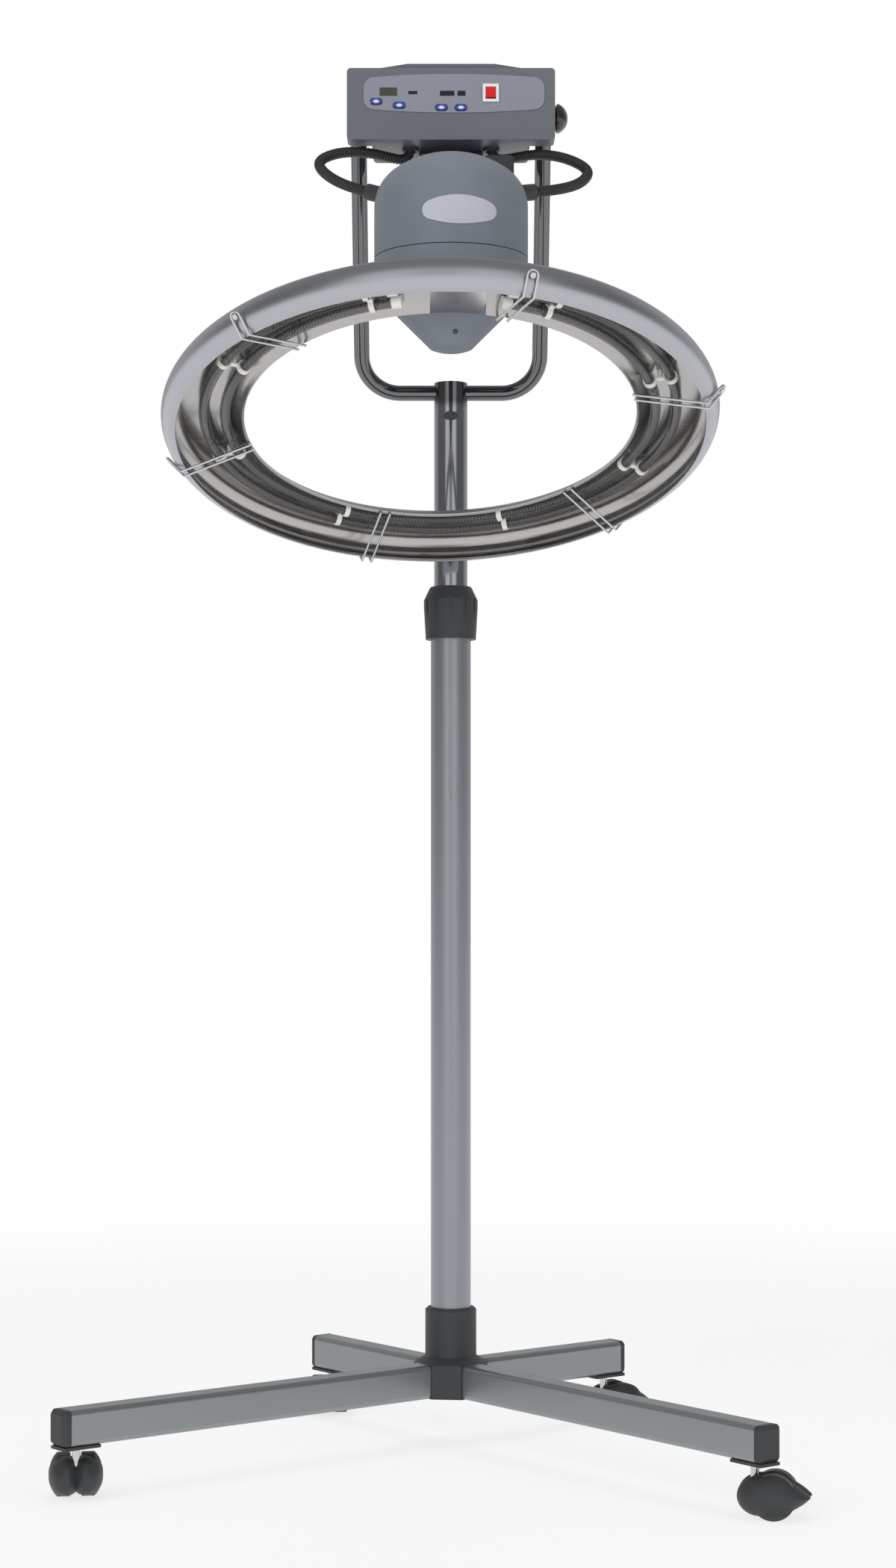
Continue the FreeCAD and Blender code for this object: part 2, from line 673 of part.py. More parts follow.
def button_window(name):
    """Oval prism that clears the snap button, forwards from the mast's axis."""
    body = new_body(name)
    pad(body, name + "_pad", "XZ_Plane", stadium("(button_length / 2 + running_gap)",
                                                 "(button_height / 2 + running_gap)"), "(2 * inner_radius)")
    return seat(body, at(z=BUTTON_Z))


def upper_mast():
    """Inner tube that slides and swivels in the bushes, and the snap button in its wall."""
    inner = cut("mast_inner_cut", tube("mast_inner", "inner_radius", "(inner_radius - tube_wall)",
                                       "inner_foot", "inner_top"), button_window("tube_window"))
    node(inner, "mast_inner_tube")
    button = new_body("snap_button_body")
    pad(button, "snap_button_pad", "XZ_Plane", stadium("(button_length / 2)", "(button_height / 2)"),
        "(button_proud + 6)", level="(inner_radius - 6)")
    node(button, "snap_button", at(z=BUTTON_Z))


def u_tube(name, radius, end):
    """Round bar bent to a U: a cross bar along X at z = 0 and two arms up to a height."""
    solids = [rod(name + "_bar", radius, "-(fork_half - fork_bend)", "(fork_half - fork_bend)", along="x")]
    for side, sign, turn in (("left", "-", 180), ("right", "", 270)):
        solids.append(rod("%s_arm_%s" % (name, side), radius, "fork_bend", end,
                          centre=(sign + "fork_half", 0)))
        solids.append(bend("%s_corner_%s" % (name, side), "fork_bend", radius, 90,
                           at(x="%s(fork_half - fork_bend)" % sign, z="fork_bend"),
                           at(turn=90, axis="1; 0; 0"), at(turn=turn)))
    return fuse(name, *solids)


def fork():
    """Chromed fork: a bent tube welded to a stem that plugs into the upper mast tube."""
    lean = at(z="fork_bar_z", turn="fork_lean", axis="1; 0; 0")
    outside = u_tube("fork_outside", "fork_tube_radius", "(fork_pivot + fork_beyond)")
    inside = u_tube("fork_inside", "(fork_tube_radius - fork_tube_wall)", "(fork_pivot + fork_beyond - 3)")
    hole = rod("fork_hole", "(pivot_radius + pivot_clearance)", "-(fork_half * 1.5)", "(fork_half * 1.5)",
               centre=(0, "fork_pivot"), along="x")
    bent = seat(cut("fork_tube", outside, fuse("fork_holes", inside, hole)), lean)
    stem = rod("fork_stem", "inner_radius", "inner_top", "(inner_top + socket_length)")
    spigot_radius = "(inner_radius - tube_wall - plug_clearance)"
    spigot = cut("spigot_cut", tube("fork_spigot_tube", spigot_radius, "(%s - 3)" % spigot_radius,
                                     "(inner_top - fork_spigot)", "inner_top"), button_window("spigot_window"))
    node(fuse("fork_frame_solid", bent, stem, spigot), "fork_frame")


def bolts():
    """Bolts of the tilt pivot: one through each arm of the fork into the box."""
    return [rod("pivot_bolt_" + side, "pivot_radius", low, high, along="x")
            for side, low, high in (("left", "-(fork_half + fork_tube_radius + 3)", "-(%s - 12)" % REAR_HALF),
                                    ("right", "(%s - 12)" % REAR_HALF, "(fork_half + fork_tube_radius)"))]


# ---- control box and motor head, from the tilt pivot ----

PIVOT = at(y="(-fork_pivot * sin(fork_lean))", z="(fork_bar_z + fork_pivot * cos(fork_lean))")
LIP_BACK = "(box_front + box_lip)"
INNER_LOW, INNER_HIGH = "(box_low + box_wall)", "(box_high - box_wall)"


def fascia():
    """Front tray of the box: a plate with edges turned back, open behind."""
    body = new_body("box_fascia_body")
    pad(body, "fascia_block", "XZ_Plane", rounded("-box_half", "box_half", "box_low", "box_high", "box_corner"),
        "box_lip", level="-%s" % LIP_BACK)
    pocket(body, "fascia_hollow", "XZ_Plane",
           rounded("-(box_half - box_wall)", "(box_half - box_wall)", INNER_LOW, INNER_HIGH,
                   "(box_corner - box_wall)"), "(box_lip - box_wall)", level="-%s" % LIP_BACK, reverse=True)
    holes = [window("hole_key_" + key, spot, "key_gap") for key, spot in KEYS.items()]
    holes.append(block("hole_rocker", ("rocker_left + rocker_frame / 2", "rocker_right - rocker_frame / 2"),
                       ("(box_front - 1)", LIP_BACK),
                       ("rocker_low + rocker_frame / 2", "rocker_high - rocker_frame / 2")))
    node(cut("box_fascia_solid", body, *holes), "box_fascia", PIVOT)


def window(name, spot, gap):
    """Oval prism through the fascia and its overlay, larger than a key by a gap."""
    body = new_body(name)
    half_length, half_height = "(key_length / 2 + %s)" % gap, "(key_height / 2 + %s)" % gap
    pad(body, name + "_pad", "XZ_Plane", stadium(half_length, half_height),
        "(box_wall + panel_thick + 2)", level="-(box_front + box_wall + 1)")
    return seat(body, at(x=spot[0], z=spot[1]))


REAR_HALF = "(fork_half - fork_tube_radius - running_gap - boss_proud)"


def rear_screws(low, high, name):
    """Four rods along Y at the corners of the rear shell's back."""
    levels = ("(box_low + screw_inset)", "(box_high - screw_inset)")
    spots = [("%s(%s - screw_inset)" % (sign, REAR_HALF), level) for sign in ("-", "") for level in levels]
    return [rod("%s_%d" % (name, index), "screw_radius", low, high, centre=spot, along="y")
            for index, spot in enumerate(spots)]


def rear_shell():
    """Rear casing of the box, between the fork's arms, with a shallow arch on top."""
    front = "(box_front + box_wall + 4)"
    body = new_body("rear_shell_body")
    half, low, high = REAR_HALF, "box_low", "box_high"
    inset = "(box_wall + seat_gap)"
    pad(body, "rear_block", "XZ_Plane", rounded("-" + half, half, low, high, "box_corner"),
        "(rear_back - %s)" % LIP_BACK, level="-rear_back")
    pad(body, "rear_tongue", "XZ_Plane",
        rounded("-" + half, half, "(%s + %s)" % (low, inset), "(%s - %s)" % (high, inset), "(box_corner - box_wall)"),
        "(%s - %s + 0.01)" % (LIP_BACK, front), level="-(%s + 0.01)" % LIP_BACK)
    arch = [("-arch_half", "(box_high - 0.5)"), ("arch_half", "(box_high - 0.5)"),
            ("arch_half", "(box_high + arch_foot)"),
            ("arch_flat", "(box_high + arch_rise)"), ("-arch_flat", "(box_high + arch_rise)"),
            ("-arch_half", "(box_high + arch_foot)")]
    pad(body, "rear_arch", "XZ_Plane", arch, "(rear_back - %s - box_wall)" % LIP_BACK,
        level="-(rear_back - box_wall)")
    pocket(body, "rear_hollow", "XZ_Plane",
           rounded("-(%s - box_wall)" % half, "(%s - box_wall)" % half, "(%s + %s + box_wall)" % (low, inset),
                   "(%s - %s - box_wall)" % (high, inset), "box_wall"),
           "(rear_back - %s)" % front, level="-(rear_back - box_wall)", reverse=True)
    bosses = [rod("boss_" + side, "boss_radius", low_x, high_x, along="x")
              for side, low_x, high_x in (
                  ("left", "-(%s + boss_proud)" % half, "-(%s - 13)" % half),
                  ("right", "(%s - 13)" % half, "(%s + boss_proud)" % half))]
    holes = [rod("boss_hole", "pivot_radius", "-fork_half", "fork_half", along="x"),
             *[rod("gland_hole_" + side, "(conduit_radius + gland_sleeve + seat_gap)", "(box_low - 1)",
                   "(box_low + 4 * box_wall)", centre=route[0][:2])
               for side, route in CONDUIT_ROUTES.items()],
             *rear_screws("(rear_back - 2 * box_wall)", "(rear_back + 1)", "screw_hole"),
             block("inlet_hole", ("-inlet_width / 2", "inlet_width / 2"),
                   ("(rear_back - 2 * box_wall)", "(rear_back + 1)"), ("-inlet_height / 2", "inlet_height / 2"))]
    node(cut("box_rear_solid", fuse("rear_shell_bossed", body, *bosses), *holes), "box_rear_shell", PIVOT)


def panel():
    """Front overlay with an arched top and foot, its display windows and its keys."""
    low_bend = "((panel_right - panel_left - 2 * panel_end) ^ 2 / (8 * panel_arch))"
    low, high = "(panel_low + panel_arch)", "(panel_high - panel_arch)"
    outline_points = [
        ("(panel_left + panel_end)", low, low_bend), ("(panel_right - panel_end)", low, "panel_end"),
        ("panel_right", "(%s + panel_end)" % low), ("panel_right", "(%s - panel_end)" % high, "panel_end"),
        ("(panel_right - panel_end)", high, low_bend), ("(panel_left + panel_end)", high, "panel_end"),
        ("panel_left", "(%s - panel_end)" % high), ("panel_left", "(%s + panel_end)" % low, "panel_end")]
    body = new_body("overlay_body")
    pad(body, "overlay_pad", "XZ_Plane", outline_points, "panel_thick", level="-box_front")
    holes = [window("overlay_key_" + key, spot, "key_gap") for key, spot in KEYS.items()]
    through = ("(box_front - 2 * panel_thick)", "(box_front + 1)")
    holes.append(block("overlay_rocker", ("rocker_left", "rocker_right"), through, ("rocker_low", "rocker_high")))
    glasses = []
    for name, (left, right, low, high) in WINDOWS.items():
        span = ("(box_front - panel_thick)", "box_front")
        holes.append(block("overlay_window_" + name, (left, right), through, (low, high)))
        glasses.append(block("glass_" + name, (left, right), span, (low, high)))
    node(cut("overlay_solid", body, *holes), "control_overlay", PIVOT)
    node(group("display_glasses", *glasses), "display_windows", PIVOT)
    for key, spot in KEYS.items():
        cap = new_body("key_" + key)
        face = "(box_front - panel_thick - key_proud)"
        pad(cap, "key_pad_" + key, "XZ_Plane", stadium("(key_length / 2)", "(key_height / 2)"),
            "(key_proud + panel_thick + box_wall + 1)", level="(-%s - key_proud - panel_thick - box_wall - 1)" % face)
        node(cap, "button_" + key, PIVOT, at(x=spot[0], z=spot[1]))
    half, face = "(%s - box_wall - running_gap)" % REAR_HALF, "(box_front + bezel_depth + board_gap)"
    board = block("board", ("-" + half, half), (face, "(%s + board_thick)" % face),
                  ("(box_low + 4 * box_wall)", "(box_high - 4 * box_wall)"))
    node(group("board_at_pivot", board), "circuit_board", PIVOT)


def rocker_switch():
    """Bezel that snaps into the fascia, and the rocker that tips in it about X."""
    inside = "(rocker_frame / 2 + seat_gap)"
    (flange_x, flange_z), (barrel_x, barrel_z), (mouth_x, mouth_z) = [
        [("%s_%s + %s" % ("rocker", low, inset), "%s_%s - %s" % ("rocker", high, inset))
         for low, high in (("left", "right"), ("low", "high"))] for inset in ("seat_gap", inside, "rocker_frame")]
    flange = block("bezel_flange", flange_x, ("(box_front - panel_thick - bezel_proud)", "box_front"), flange_z)
    barrel = block("bezel_barrel", barrel_x, ("box_front", "(box_front + bezel_depth)"), barrel_z)
    mouth = block("bezel_mouth", mouth_x, ("(box_front - panel_thick - 2 * bezel_proud)",
                                           "(box_front + bezel_depth - bezel_floor)"), mouth_z)
    node(cut("bezel_solid", fuse("bezel_outside", flange, barrel), mouth), "rocker_bezel", PIVOT)
    half_wide = "((rocker_right - rocker_left) / 2 - rocker_frame - running_gap)"
    half_high = "((rocker_high - rocker_low) / 2 - rocker_frame - 2 * running_gap)"
    body = new_body("rocker_body")
    toe = "(%s - rocker_taper)" % half_high
    pad(body, "rocker_pad", "YZ_Plane",
        [("-rocker_crest", "-" + half_high), ("rocker_foot", "-" + toe), ("rocker_foot", toe),
         ("-rocker_crest", half_high), ("-rocker_dip", 0)], "(2 * %s)" % half_wide, level="-%s" % half_wide)
    node(body, "power_rocker", PIVOT, at(x="((rocker_left + rocker_right) / 2)", y="(box_front + rocker_depth)",
                                        z="((rocker_low + rocker_high) / 2)", turn="(-rocker_tip)",
                                        axis="1; 0; 0"))


def box_fittings():
    """Power inlet, clamp knob, pivot bolts and rear screws."""
    (lip_x, lip_z), (well_x, well_z) = [
        [("-(%s / 2 + %s)" % (span, grow), "(%s / 2 + %s)" % (span, grow))
         for span in ("inlet_width", "inlet_height")] for grow in ("inlet_rim", "-seat_gap")]
    lip = block("inlet_lip", lip_x, ("rear_back", "(rear_back + inlet_proud)"), lip_z)
    well = block("inlet_well", well_x, ("(rear_back - inlet_depth)", "rear_back"), well_z)
    mouth = block("inlet_mouth", ("-inlet_mouth_half", "inlet_mouth_half"),
                  ("(rear_back - inlet_depth + 2 * inlet_proud)", "(rear_back + inlet_proud + 1)"),
                  ("-inlet_mouth_rise", "inlet_mouth_rise"))
    pins = [block("inlet_pin_%d" % index, ("(%s - pin_wide / 2)" % x, "(%s + pin_wide / 2)" % x),
                  ("(rear_back - inlet_depth + inlet_proud)", "(rear_back - 2 * pin_wide)"),
                  ("(%s - pin_high / 2)" % z, "(%s + pin_high / 2)" % z))
            for index, (x, z) in enumerate(
                (("-pin_pitch", "-pin_rise"), ("0", "pin_rise"), ("pin_pitch", "-pin_rise")))]
    shell = cut("inlet_shell", fuse("inlet_outside", lip, well), mouth)
    node(fuse("inlet_solid", shell, *pins), "power_inlet", PIVOT)
    face = "(fork_half + fork_tube_radius + running_gap)"
    knob = turned("knob", [
        (0, 0), ("(knob_radius - knob_step)", 0), ("(knob_radius - knob_step)", "knob_step"),
        ("knob_radius", "(knob_step + 2)"), ("knob_radius", "(knob_step + 4)", "(knob_radius * 1.05)"),
        ("knob_step", "knob_depth"), (0, "knob_depth")])
    node(knob, "clamp_knob", PIVOT, at(x=face, turn=90, axis="0; 1; 0"))
    node(group("pivot_bolts_group", *bolts()), "pivot_bolts", PIVOT)
    node(group("rear_screws_group", *rear_screws("(rear_back - box_wall)", "(rear_back + 1.6)", "rear_screw")),
         "rear_screws", PIVOT)


ORBIT = at(y="(-orbit_reach)")
DOME_X = "(head_radius - dome_corner + (dome_corner - %s) * cos(dome_turn))"
DOME_Z = "(dome_shoulder + (dome_corner - %s) * sin(dome_turn))"
CROWN = "(dome_corner + (head_radius - dome_corner) / cos(dome_turn))"
CROWN_TOP = "(dome_shoulder - (head_radius - dome_corner) * tan(dome_turn) + %s)" % CROWN
ROTOR_TOP = "(dome_foot - rotor_gap)"
NOSE_BEND = "((cone_foot_radius ^ 2 + cone_nose ^ 2) / (2 * cone_nose))"


def dome_solid(name):
    """The dome's outer form, filled, to cut what seats on it."""
    return turned(name, [(0, "dome_foot"), ("head_radius", "dome_foot"),
                         ("head_radius", "dome_shoulder", "dome_corner"), (DOME_X % 0, DOME_Z % 0, CROWN),
                         (0, CROWN_TOP)])


def rotor_solid(name):
    """The rotor's outer form, filled."""
    return turned(name, [(0, "(cone_foot - cone_nose)", NOSE_BEND), ("cone_foot_radius", "cone_foot"),
                         ("head_radius", "cone_top"), ("head_radius", ROTOR_TOP), (0, ROTOR_TOP)])


def motor_head():
    """Fixed dome with the gear motor inside, and its arm to the box."""
    dome = turned("dome", [
        ("head_radius", "dome_foot"), ("head_radius", "dome_shoulder", "dome_corner"),
        (DOME_X % 0, DOME_Z % 0, CROWN), (0, CROWN_TOP),
        (0, "(%s - head_wall)" % CROWN_TOP, "-(%s - head_wall)" % CROWN),
        (DOME_X % "head_wall", DOME_Z % "head_wall", "-(dome_corner - head_wall)"),
        ("(head_radius - head_wall)", "dome_shoulder"), ("(head_radius - head_wall)", "dome_foot")])
    node(dome, "housing_dome", PIVOT, ORBIT)
    plate_low = "(dome_foot + motor_rise)"
    plate = rod("motor_plate", "(head_radius - head_wall - seat_gap)", plate_low, "(%s + web_thick)" % plate_low)
    case = rod("motor_case", "motor_radius", plate_low, "(%s + motor_height)" % plate_low)
    bore = rod("motor_bore", "(spigot_radius + spigot_clearance)", "(%s - 1)" % plate_low,
               "(dome_foot + spigot_reach + 2)")
    node(cut("gear_motor_solid", fuse("gear_motor_outside", plate, case), bore), "gear_motor", PIVOT, ORBIT)
    body = new_body("arm_body")
    under = "(box_low - seat_gap)"
    pad(body, "arm_pad", "YZ_Plane",
        [("arm_front", under), ("-(orbit_reach - arm_crest)", "(%s + 1)" % CROWN_TOP),
         ("-(orbit_reach - arm_toe)", "(dome_shoulder - arm_drop)"),
         ("-(orbit_reach - arm_heel)", "(dome_shoulder - arm_drop)"), ("arm_back", "(box_low - arm_depth)"),
         ("arm_back", under)],
        "arm_width", level="-arm_width / 2")
    seating = seat(group("arm_seat", dome_solid("arm_dome")), ORBIT)
    node(cut("head_arm_solid", body, seating), "head_arm", PIVOT)
    bracket = block("bracket", ("(arm_width / 2 + seat_gap)", "(arm_width / 2 + bracket_reach)"),
                    ("bracket_front", "bracket_back"), ("bracket_low", "bracket_high"))
    rounding = doc.addObject("Part::Fillet", "bracket_rounded")
    rounding.Base = bracket
    rounding.Edges = [(number, size("bracket_corner"), size("bracket_corner")) for number in range(1, 13)]
    node(rounding, "arm_bracket", PIVOT)


def badge():
    """Plain oval plate that follows the dome's wall."""
    far = ("(((badge_half - badge_end) ^ 2 + badge_half_height ^ 2 - badge_end ^ 2)"
           " / (2 * (badge_half_height - badge_end)))")
    join_x = "((badge_half - badge_end) * (1 + badge_end / (%s - badge_end)))" % far
    join_z = "(badge_end * (%s - badge_half_height) / (%s - badge_end))" % (far, far)
    points = [("-" + join_x, "-" + join_z, far), (join_x, "-" + join_z, "badge_end"), ("badge_half", 0, "badge_end"),
              (join_x, join_z, far), ("-" + join_x, join_z, "badge_end"), ("-badge_half", 0, "badge_end")]
    oval = new_body("badge_oval")
    pad(oval, "badge_pad", "XZ_Plane", points, "(head_radius + 20)")
    seat(oval, at(x="badge_x", z="badge_z"))
    wall = tube("badge_wall", "(head_radius + badge_thick)", "head_radius", "dome_foot", "dome_shoulder")
    plate = doc.addObject("Part::MultiCommon", "badge_plate")
    plate.Shapes = [oval, wall]
    node(plate, "housing_badge", PIVOT, ORBIT)


def route_wire(points):
    """Straight runs joined by tangent arcs; each arc takes 0.45 of its shorter run."""
    edges, start = [], points[0]
    for before, corner, after in zip(points, points[1:], points[2:]):
        back, ahead = (before - corner), (after - corner)
        reach = 0.45 * min(back.Length, ahead.Length)
        back.normalize()
        ahead.normalize()
        turn = acos(max(-1.0, min(1.0, -back.dot(ahead))))
        first, last = corner + back * reach, corner + ahead * reach
        radius = reach / tan(turn / 2)
        middle = (back + ahead).normalize()
        apex = corner + middle * (radius / cos(turn / 2) - radius)
        print("conduit bend radius %.1f mm, turn %.0f degrees" % (radius, degrees(turn)))
        edges.append(Part.LineSegment(start, first).toShape())
        edges.append(Part.Arc(first, apex, last).toShape())
        start = last
    edges.append(Part.LineSegment(start, points[-1]).toShape())
    return Part.Wire(edges)


def conduits():
    """Corrugated conduits from the box to the head, with a gland at each end."""
    glands = []
    seat_form = dome_solid("gland_dome")
    for side, route in CONDUIT_ROUTES.items():
        points = [Vector(*point) for point in route]
        wire = route_wire(points)
        radius = size("conduit_radius")
        section = Part.Wire(Part.Circle(points[0], points[1] - points[0], radius).toShape())
        pipe = wire.makePipeShell([section], True, False)
        wanted = 3.14159265 * radius * radius * wire.Length
        print("conduit %s: %.1f mm long, volume %.4f of its section times its length"
              % (side, wire.Length, pipe.Volume / wanted))
        tube_shape = doc.addObject("Part::Feature", "conduit_" + side)
        tube_shape.Shape = pipe
        node(tube_shape, "conduit_" + side, PIVOT)
        x, y, _ = route[0]
        low = "(box_low - seat_gap)"
        flange = rod("gland_flange_" + side, "(conduit_radius + gland_flange)", "(%s - 3)" % low, low, centre=(x, y))
        sleeve = rod("gland_sleeve_" + side, "(conduit_radius + gland_sleeve)", low, "(box_low + gland_depth)",
                     centre=(x, y))
        bore = rod("gland_bore_" + side, "(conduit_radius + seat_gap)", "(%s - 4)" % low,
                   "(box_low + gland_depth + 1)", centre=(x, y))
        glands.append(cut("gland_box_" + side, fuse("gland_box_outside_" + side, flange, sleeve), bore))
        end = points[-1]
        run = (points[-1] - points[-2]).normalize()
        sleeve = bind(doc.addObject("Part::Cylinder", "gland_nut_" + side), Radius="(conduit_radius + gland_nut)",
                      Height="gland_nut_length")
        sleeve.Placement = FreeCAD.Placement(end, FreeCAD.Rotation(Vector(0, 0, 1), run))
        wall = seat(group("gland_seat_" + side, seat_form), ORBIT)
        glands.append(cut("gland_head_" + side, sleeve, wall))
    node(group("conduit_gland_group", *glands), "conduit_glands", PIVOT)


# ---- orbiting ring ----

RING = (PIVOT, at("ring_shift", "(-orbit_reach)", "(-ring_drop)", "ring_yaw"),
        at(turn="(-ring_tilt)", axis="1; 0; 0"))
NECK = at(turn="neck_yaw")
FROM_RING = (at(turn="ring_tilt", axis="1; 0; 0"), at(turn="(-ring_yaw)"), at(x="(-ring_shift)", z="ring_drop"), NECK)


def from_front(angle):
    """A frame whose X axis points outwards at an angle from the ring's front, towards +X."""
    return at(turn="(%s - 90)" % angle)


def channel(inset):
    """Corners of the ring's channel section, drawn in by an inset: outer lip, top and inner rim."""
    outer, inner = "(ring_outer - ring_outer_bend)", "(ring_inner + ring_inner_bend * sin(ring_inner_turn))"
    lip = ("(%s + (ring_outer_bend - %s) * cos(ring_lip_turn))" % (outer, inset),
           "(ring_top - ring_outer_bend - (ring_outer_bend - %s) * sin(ring_lip_turn))" % inset)
    rim = ("(%s - (ring_inner_bend - %s) * sin(ring_inner_turn))" % (inner, inset),
           "(ring_top - ring_inner_bend + (ring_inner_bend - %s) * cos(ring_inner_turn))" % inset)
    return lip, (outer, "(ring_top - %s)" % inset), (inner, "(ring_top - %s)" % inset), rim


def channel_outline(inset, wall):
    """Outline of a thin channel: rolled outer wall, flat top and a flank that falls inwards."""
    lip, shoulder, brow, rim = channel(inset)
    inner_lip, inner_shoulder, inner_brow, inner_rim = channel("(%s + %s)" % (inset, wall))
    return [(*lip, "(ring_outer_bend - %s)" % inset), shoulder, (*brow, "(ring_inner_bend - %s)" % inset), rim,
            (*inner_rim, "-(ring_inner_bend - %s - %s)" % (inset, wall)), inner_brow,
            (*inner_shoulder, "-(ring_outer_bend - %s - %s)" % (inset, wall)), inner_lip]


def neck_form(name, gap):
    """Flared plate from the rotor's cone into the ring's channel, grown by a gap."""
    body = new_body(name)
    root, end = "(neck_root_width / 2 + %s)" % gap, "(neck_end_width / 2 + %s)" % gap
    pad(body, name + "_pad", "XY_Plane",
        [("-" + end, "-(neck_end + %s)" % gap), (end, "-(neck_end + %s)" % gap), (root, "-cone_foot_radius"),
         ("-" + root, "-cone_foot_radius")], "(neck_thick + 2 * %s)" % gap, level="(0 - %s)" % gap)
    return seat(body, at(z="neck_low", turn="neck_slope", axis="1; 0; 0"))


def ring():
    """Outer shell, reflector, lamps, clips, guard wires and the neck that carries them."""
    notch = block("neck_notch", ("-(neck_root_width / 2)", "(neck_root_width / 2)"),
                  ("-lamp_inner", "-(ring_inner - 5)"), ("0", "ring_top"))
    aside = "(ring_inner * (sin(neck_yaw) - sin(ring_yaw)) - ring_shift)"
    for label, inset, wall in (("ring_shell", "0", "ring_wall"),
                               ("ring_reflector", "(ring_wall + liner_gap)", "liner_wall")):
        hoop = turned(label + "_hoop", channel_outline(inset, wall))
        gap = seat(group(label + "_neck_gap", neck_form(label + "_neck", "running_gap")), *FROM_RING)
        mouth = seat(group(label + "_mouth", notch), at(x=aside))
        node(cut(label + "_solid", hoop, fuse(label + "_openings", gap, mouth)), label, *RING)
    web_low = "(%s - web_drop)" % ROTOR_TOP
    rotor = fuse("rotor_whole", turned("rotor", [
        (0, "(cone_foot - cone_nose)", NOSE_BEND), ("cone_foot_radius", "cone_foot"), ("head_radius", "cone_top"),
        ("head_radius", ROTOR_TOP), ("(head_radius - head_wall)", ROTOR_TOP),
        ("(head_radius - head_wall)", "(cone_top + 1)"),
        ("(cone_foot_radius - 1)", "(cone_foot + head_wall)"), (0, "(cone_foot + head_wall)")]),
        rod("rotor_web", "(head_radius - 1)", web_low, "(%s + web_thick)" % web_low),
        rod("rotor_spigot", "spigot_radius", web_low, "(dome_foot + spigot_reach)"))
    node(rotor, "rotor_shell", PIVOT, ORBIT)
    node(cut("ring_neck_solid", neck_form("neck", "0"), rotor_solid("neck_seat")), "ring_neck", PIVOT, ORBIT, NECK)
    lamps_and_clips()
    guards()


def lamps_and_clips():
    lamps, fittings = [], []
    for name, radius in (("inner", "lamp_inner"), ("outer", "lamp_outer")):
        label = "lamp_" + name
        lamps.append(bend(label, radius, "lamp_radius", "(360 - 2 * lamp_gap)", from_front("lamp_gap"),
                          at(z="lamp_height")))
        for end, angle, reach in (("start", "lamp_gap", "-lamp_cap"), ("stop", "(-lamp_gap)", "0")):
            cap = rod("%s_cap_%s" % (label, end), "(lamp_radius + 1)", "0", "lamp_cap", along="y")
            fittings.append(seat(group("%s_end_%s" % (label, end), cap), from_front(angle),
                                 at(x=radius, y=reach, z="lamp_height")))
    node(group("lamp_group", *lamps), "quartz_lamps", *RING)
    hold, inside = "(lamp_radius + clip_clearance + clip_wall)", "(lamp_radius + clip_clearance)"
    for index, angle in enumerate(CLIP_ANGLES):
        low, high = "-clip_width / 2", "clip_width / 2"
        rings = [rod("clip_%d_%s" % (index, name), hold, low, high, centre=(radius, "lamp_height"), along="y")
                 for name, radius in (("inner", "lamp_inner"), ("outer", "lamp_outer"))]
        bores = [rod("clip_bore_%d_%s" % (index, name), inside, "-clip_width", "clip_width",
                     centre=(radius, "lamp_height"), along="y")
                 for name, radius in (("inner", "lamp_inner"), ("outer", "lamp_outer"))]
        strap = block("clip_strap_%d" % index, ("lamp_inner", "lamp_outer"), (low, high),
                      ("(lamp_height - clip_wall / 2)", "(lamp_height + clip_wall / 2)"))
        post = rod("clip_post_%d" % index, "clip_width / 2", "lamp_height", "clip_top",
                   centre=("((lamp_inner + lamp_outer) / 2)", 0))
        clip = cut("clip_body_%d" % index, fuse("clip_outside_%d" % index, strap, post, *rings), *bores)
        fittings.append(seat(clip, from_front(angle)))
    node(group("clip_group", *fittings), "lamp_clips", *RING)


def guards():
    """Hairpin wires across the ring's open face, each held by a screw on the outer wall."""
    lip, _, _, rim = channel("0")
    start = ("(ring_inner - 1)", "(%s - guard_below)" % rim[1])
    knee = ("(%s + guard_reach)" % lip[0], "(%s - guard_below)" % lip[1])
    end = ("(ring_outer + guard_wire + 2)", "(ring_top - ring_outer_bend - 5)")
    pins, screws = [], []
    for index, angle in enumerate(GUARD_ANGLES):
        pieces = []
        for side, sign in (("a", "-"), ("b", "")):
            for run, (first, last) in (("low", (start, knee)), ("high", (knee, end))):
                rise = "(%s - %s); (%s - %s)" % (last[0], first[0], last[1], first[1])
                wire = bind(doc.addObject("Part::Cylinder", "guard_%d_%s_%s" % (index, side, run)),
                            Radius="guard_wire", Height="hypot(%s)" % rise)
                start_at = at(first[0], "%sguard_half" % sign, first[1], "atan2(%s)" % rise, "0; 1; 0")
                pieces.append(seat(wire, start_at))
            elbow = bind(doc.addObject("Part::Sphere", "guard_%d_%s_knee" % (index, side)), Radius="guard_wire")
            pieces.append(seat(elbow, at(knee[0], "%sguard_half" % sign, knee[1])))
        rise = "(%s - %s); (%s - %s)" % (end[0], knee[0], end[1], knee[1])
        wall = at(end[0], 0, end[1], "atan2(%s)" % rise, "0; 1; 0")
        pieces.append(bend("guard_%d_loop" % index, "guard_half", "guard_wire", 180, wall,
                           at(turn=120, axis="1; 1; 1")))
        pins.append(seat(fuse("guard_%d" % index, *pieces), from_front(angle)))
        head = rod("guard_screw_%d" % index, "guard_screw", "-1.4", "1.4", along="x")
        head_at = seat(head, wall, at(x="-1.4", turn=90, axis="0; 1; 0"))
        screws.append(seat(group("guard_screw_at_%d" % index, head_at), from_front(angle)))
    node(group("guard_group", *pins, *screws), "guard_wires", *RING)


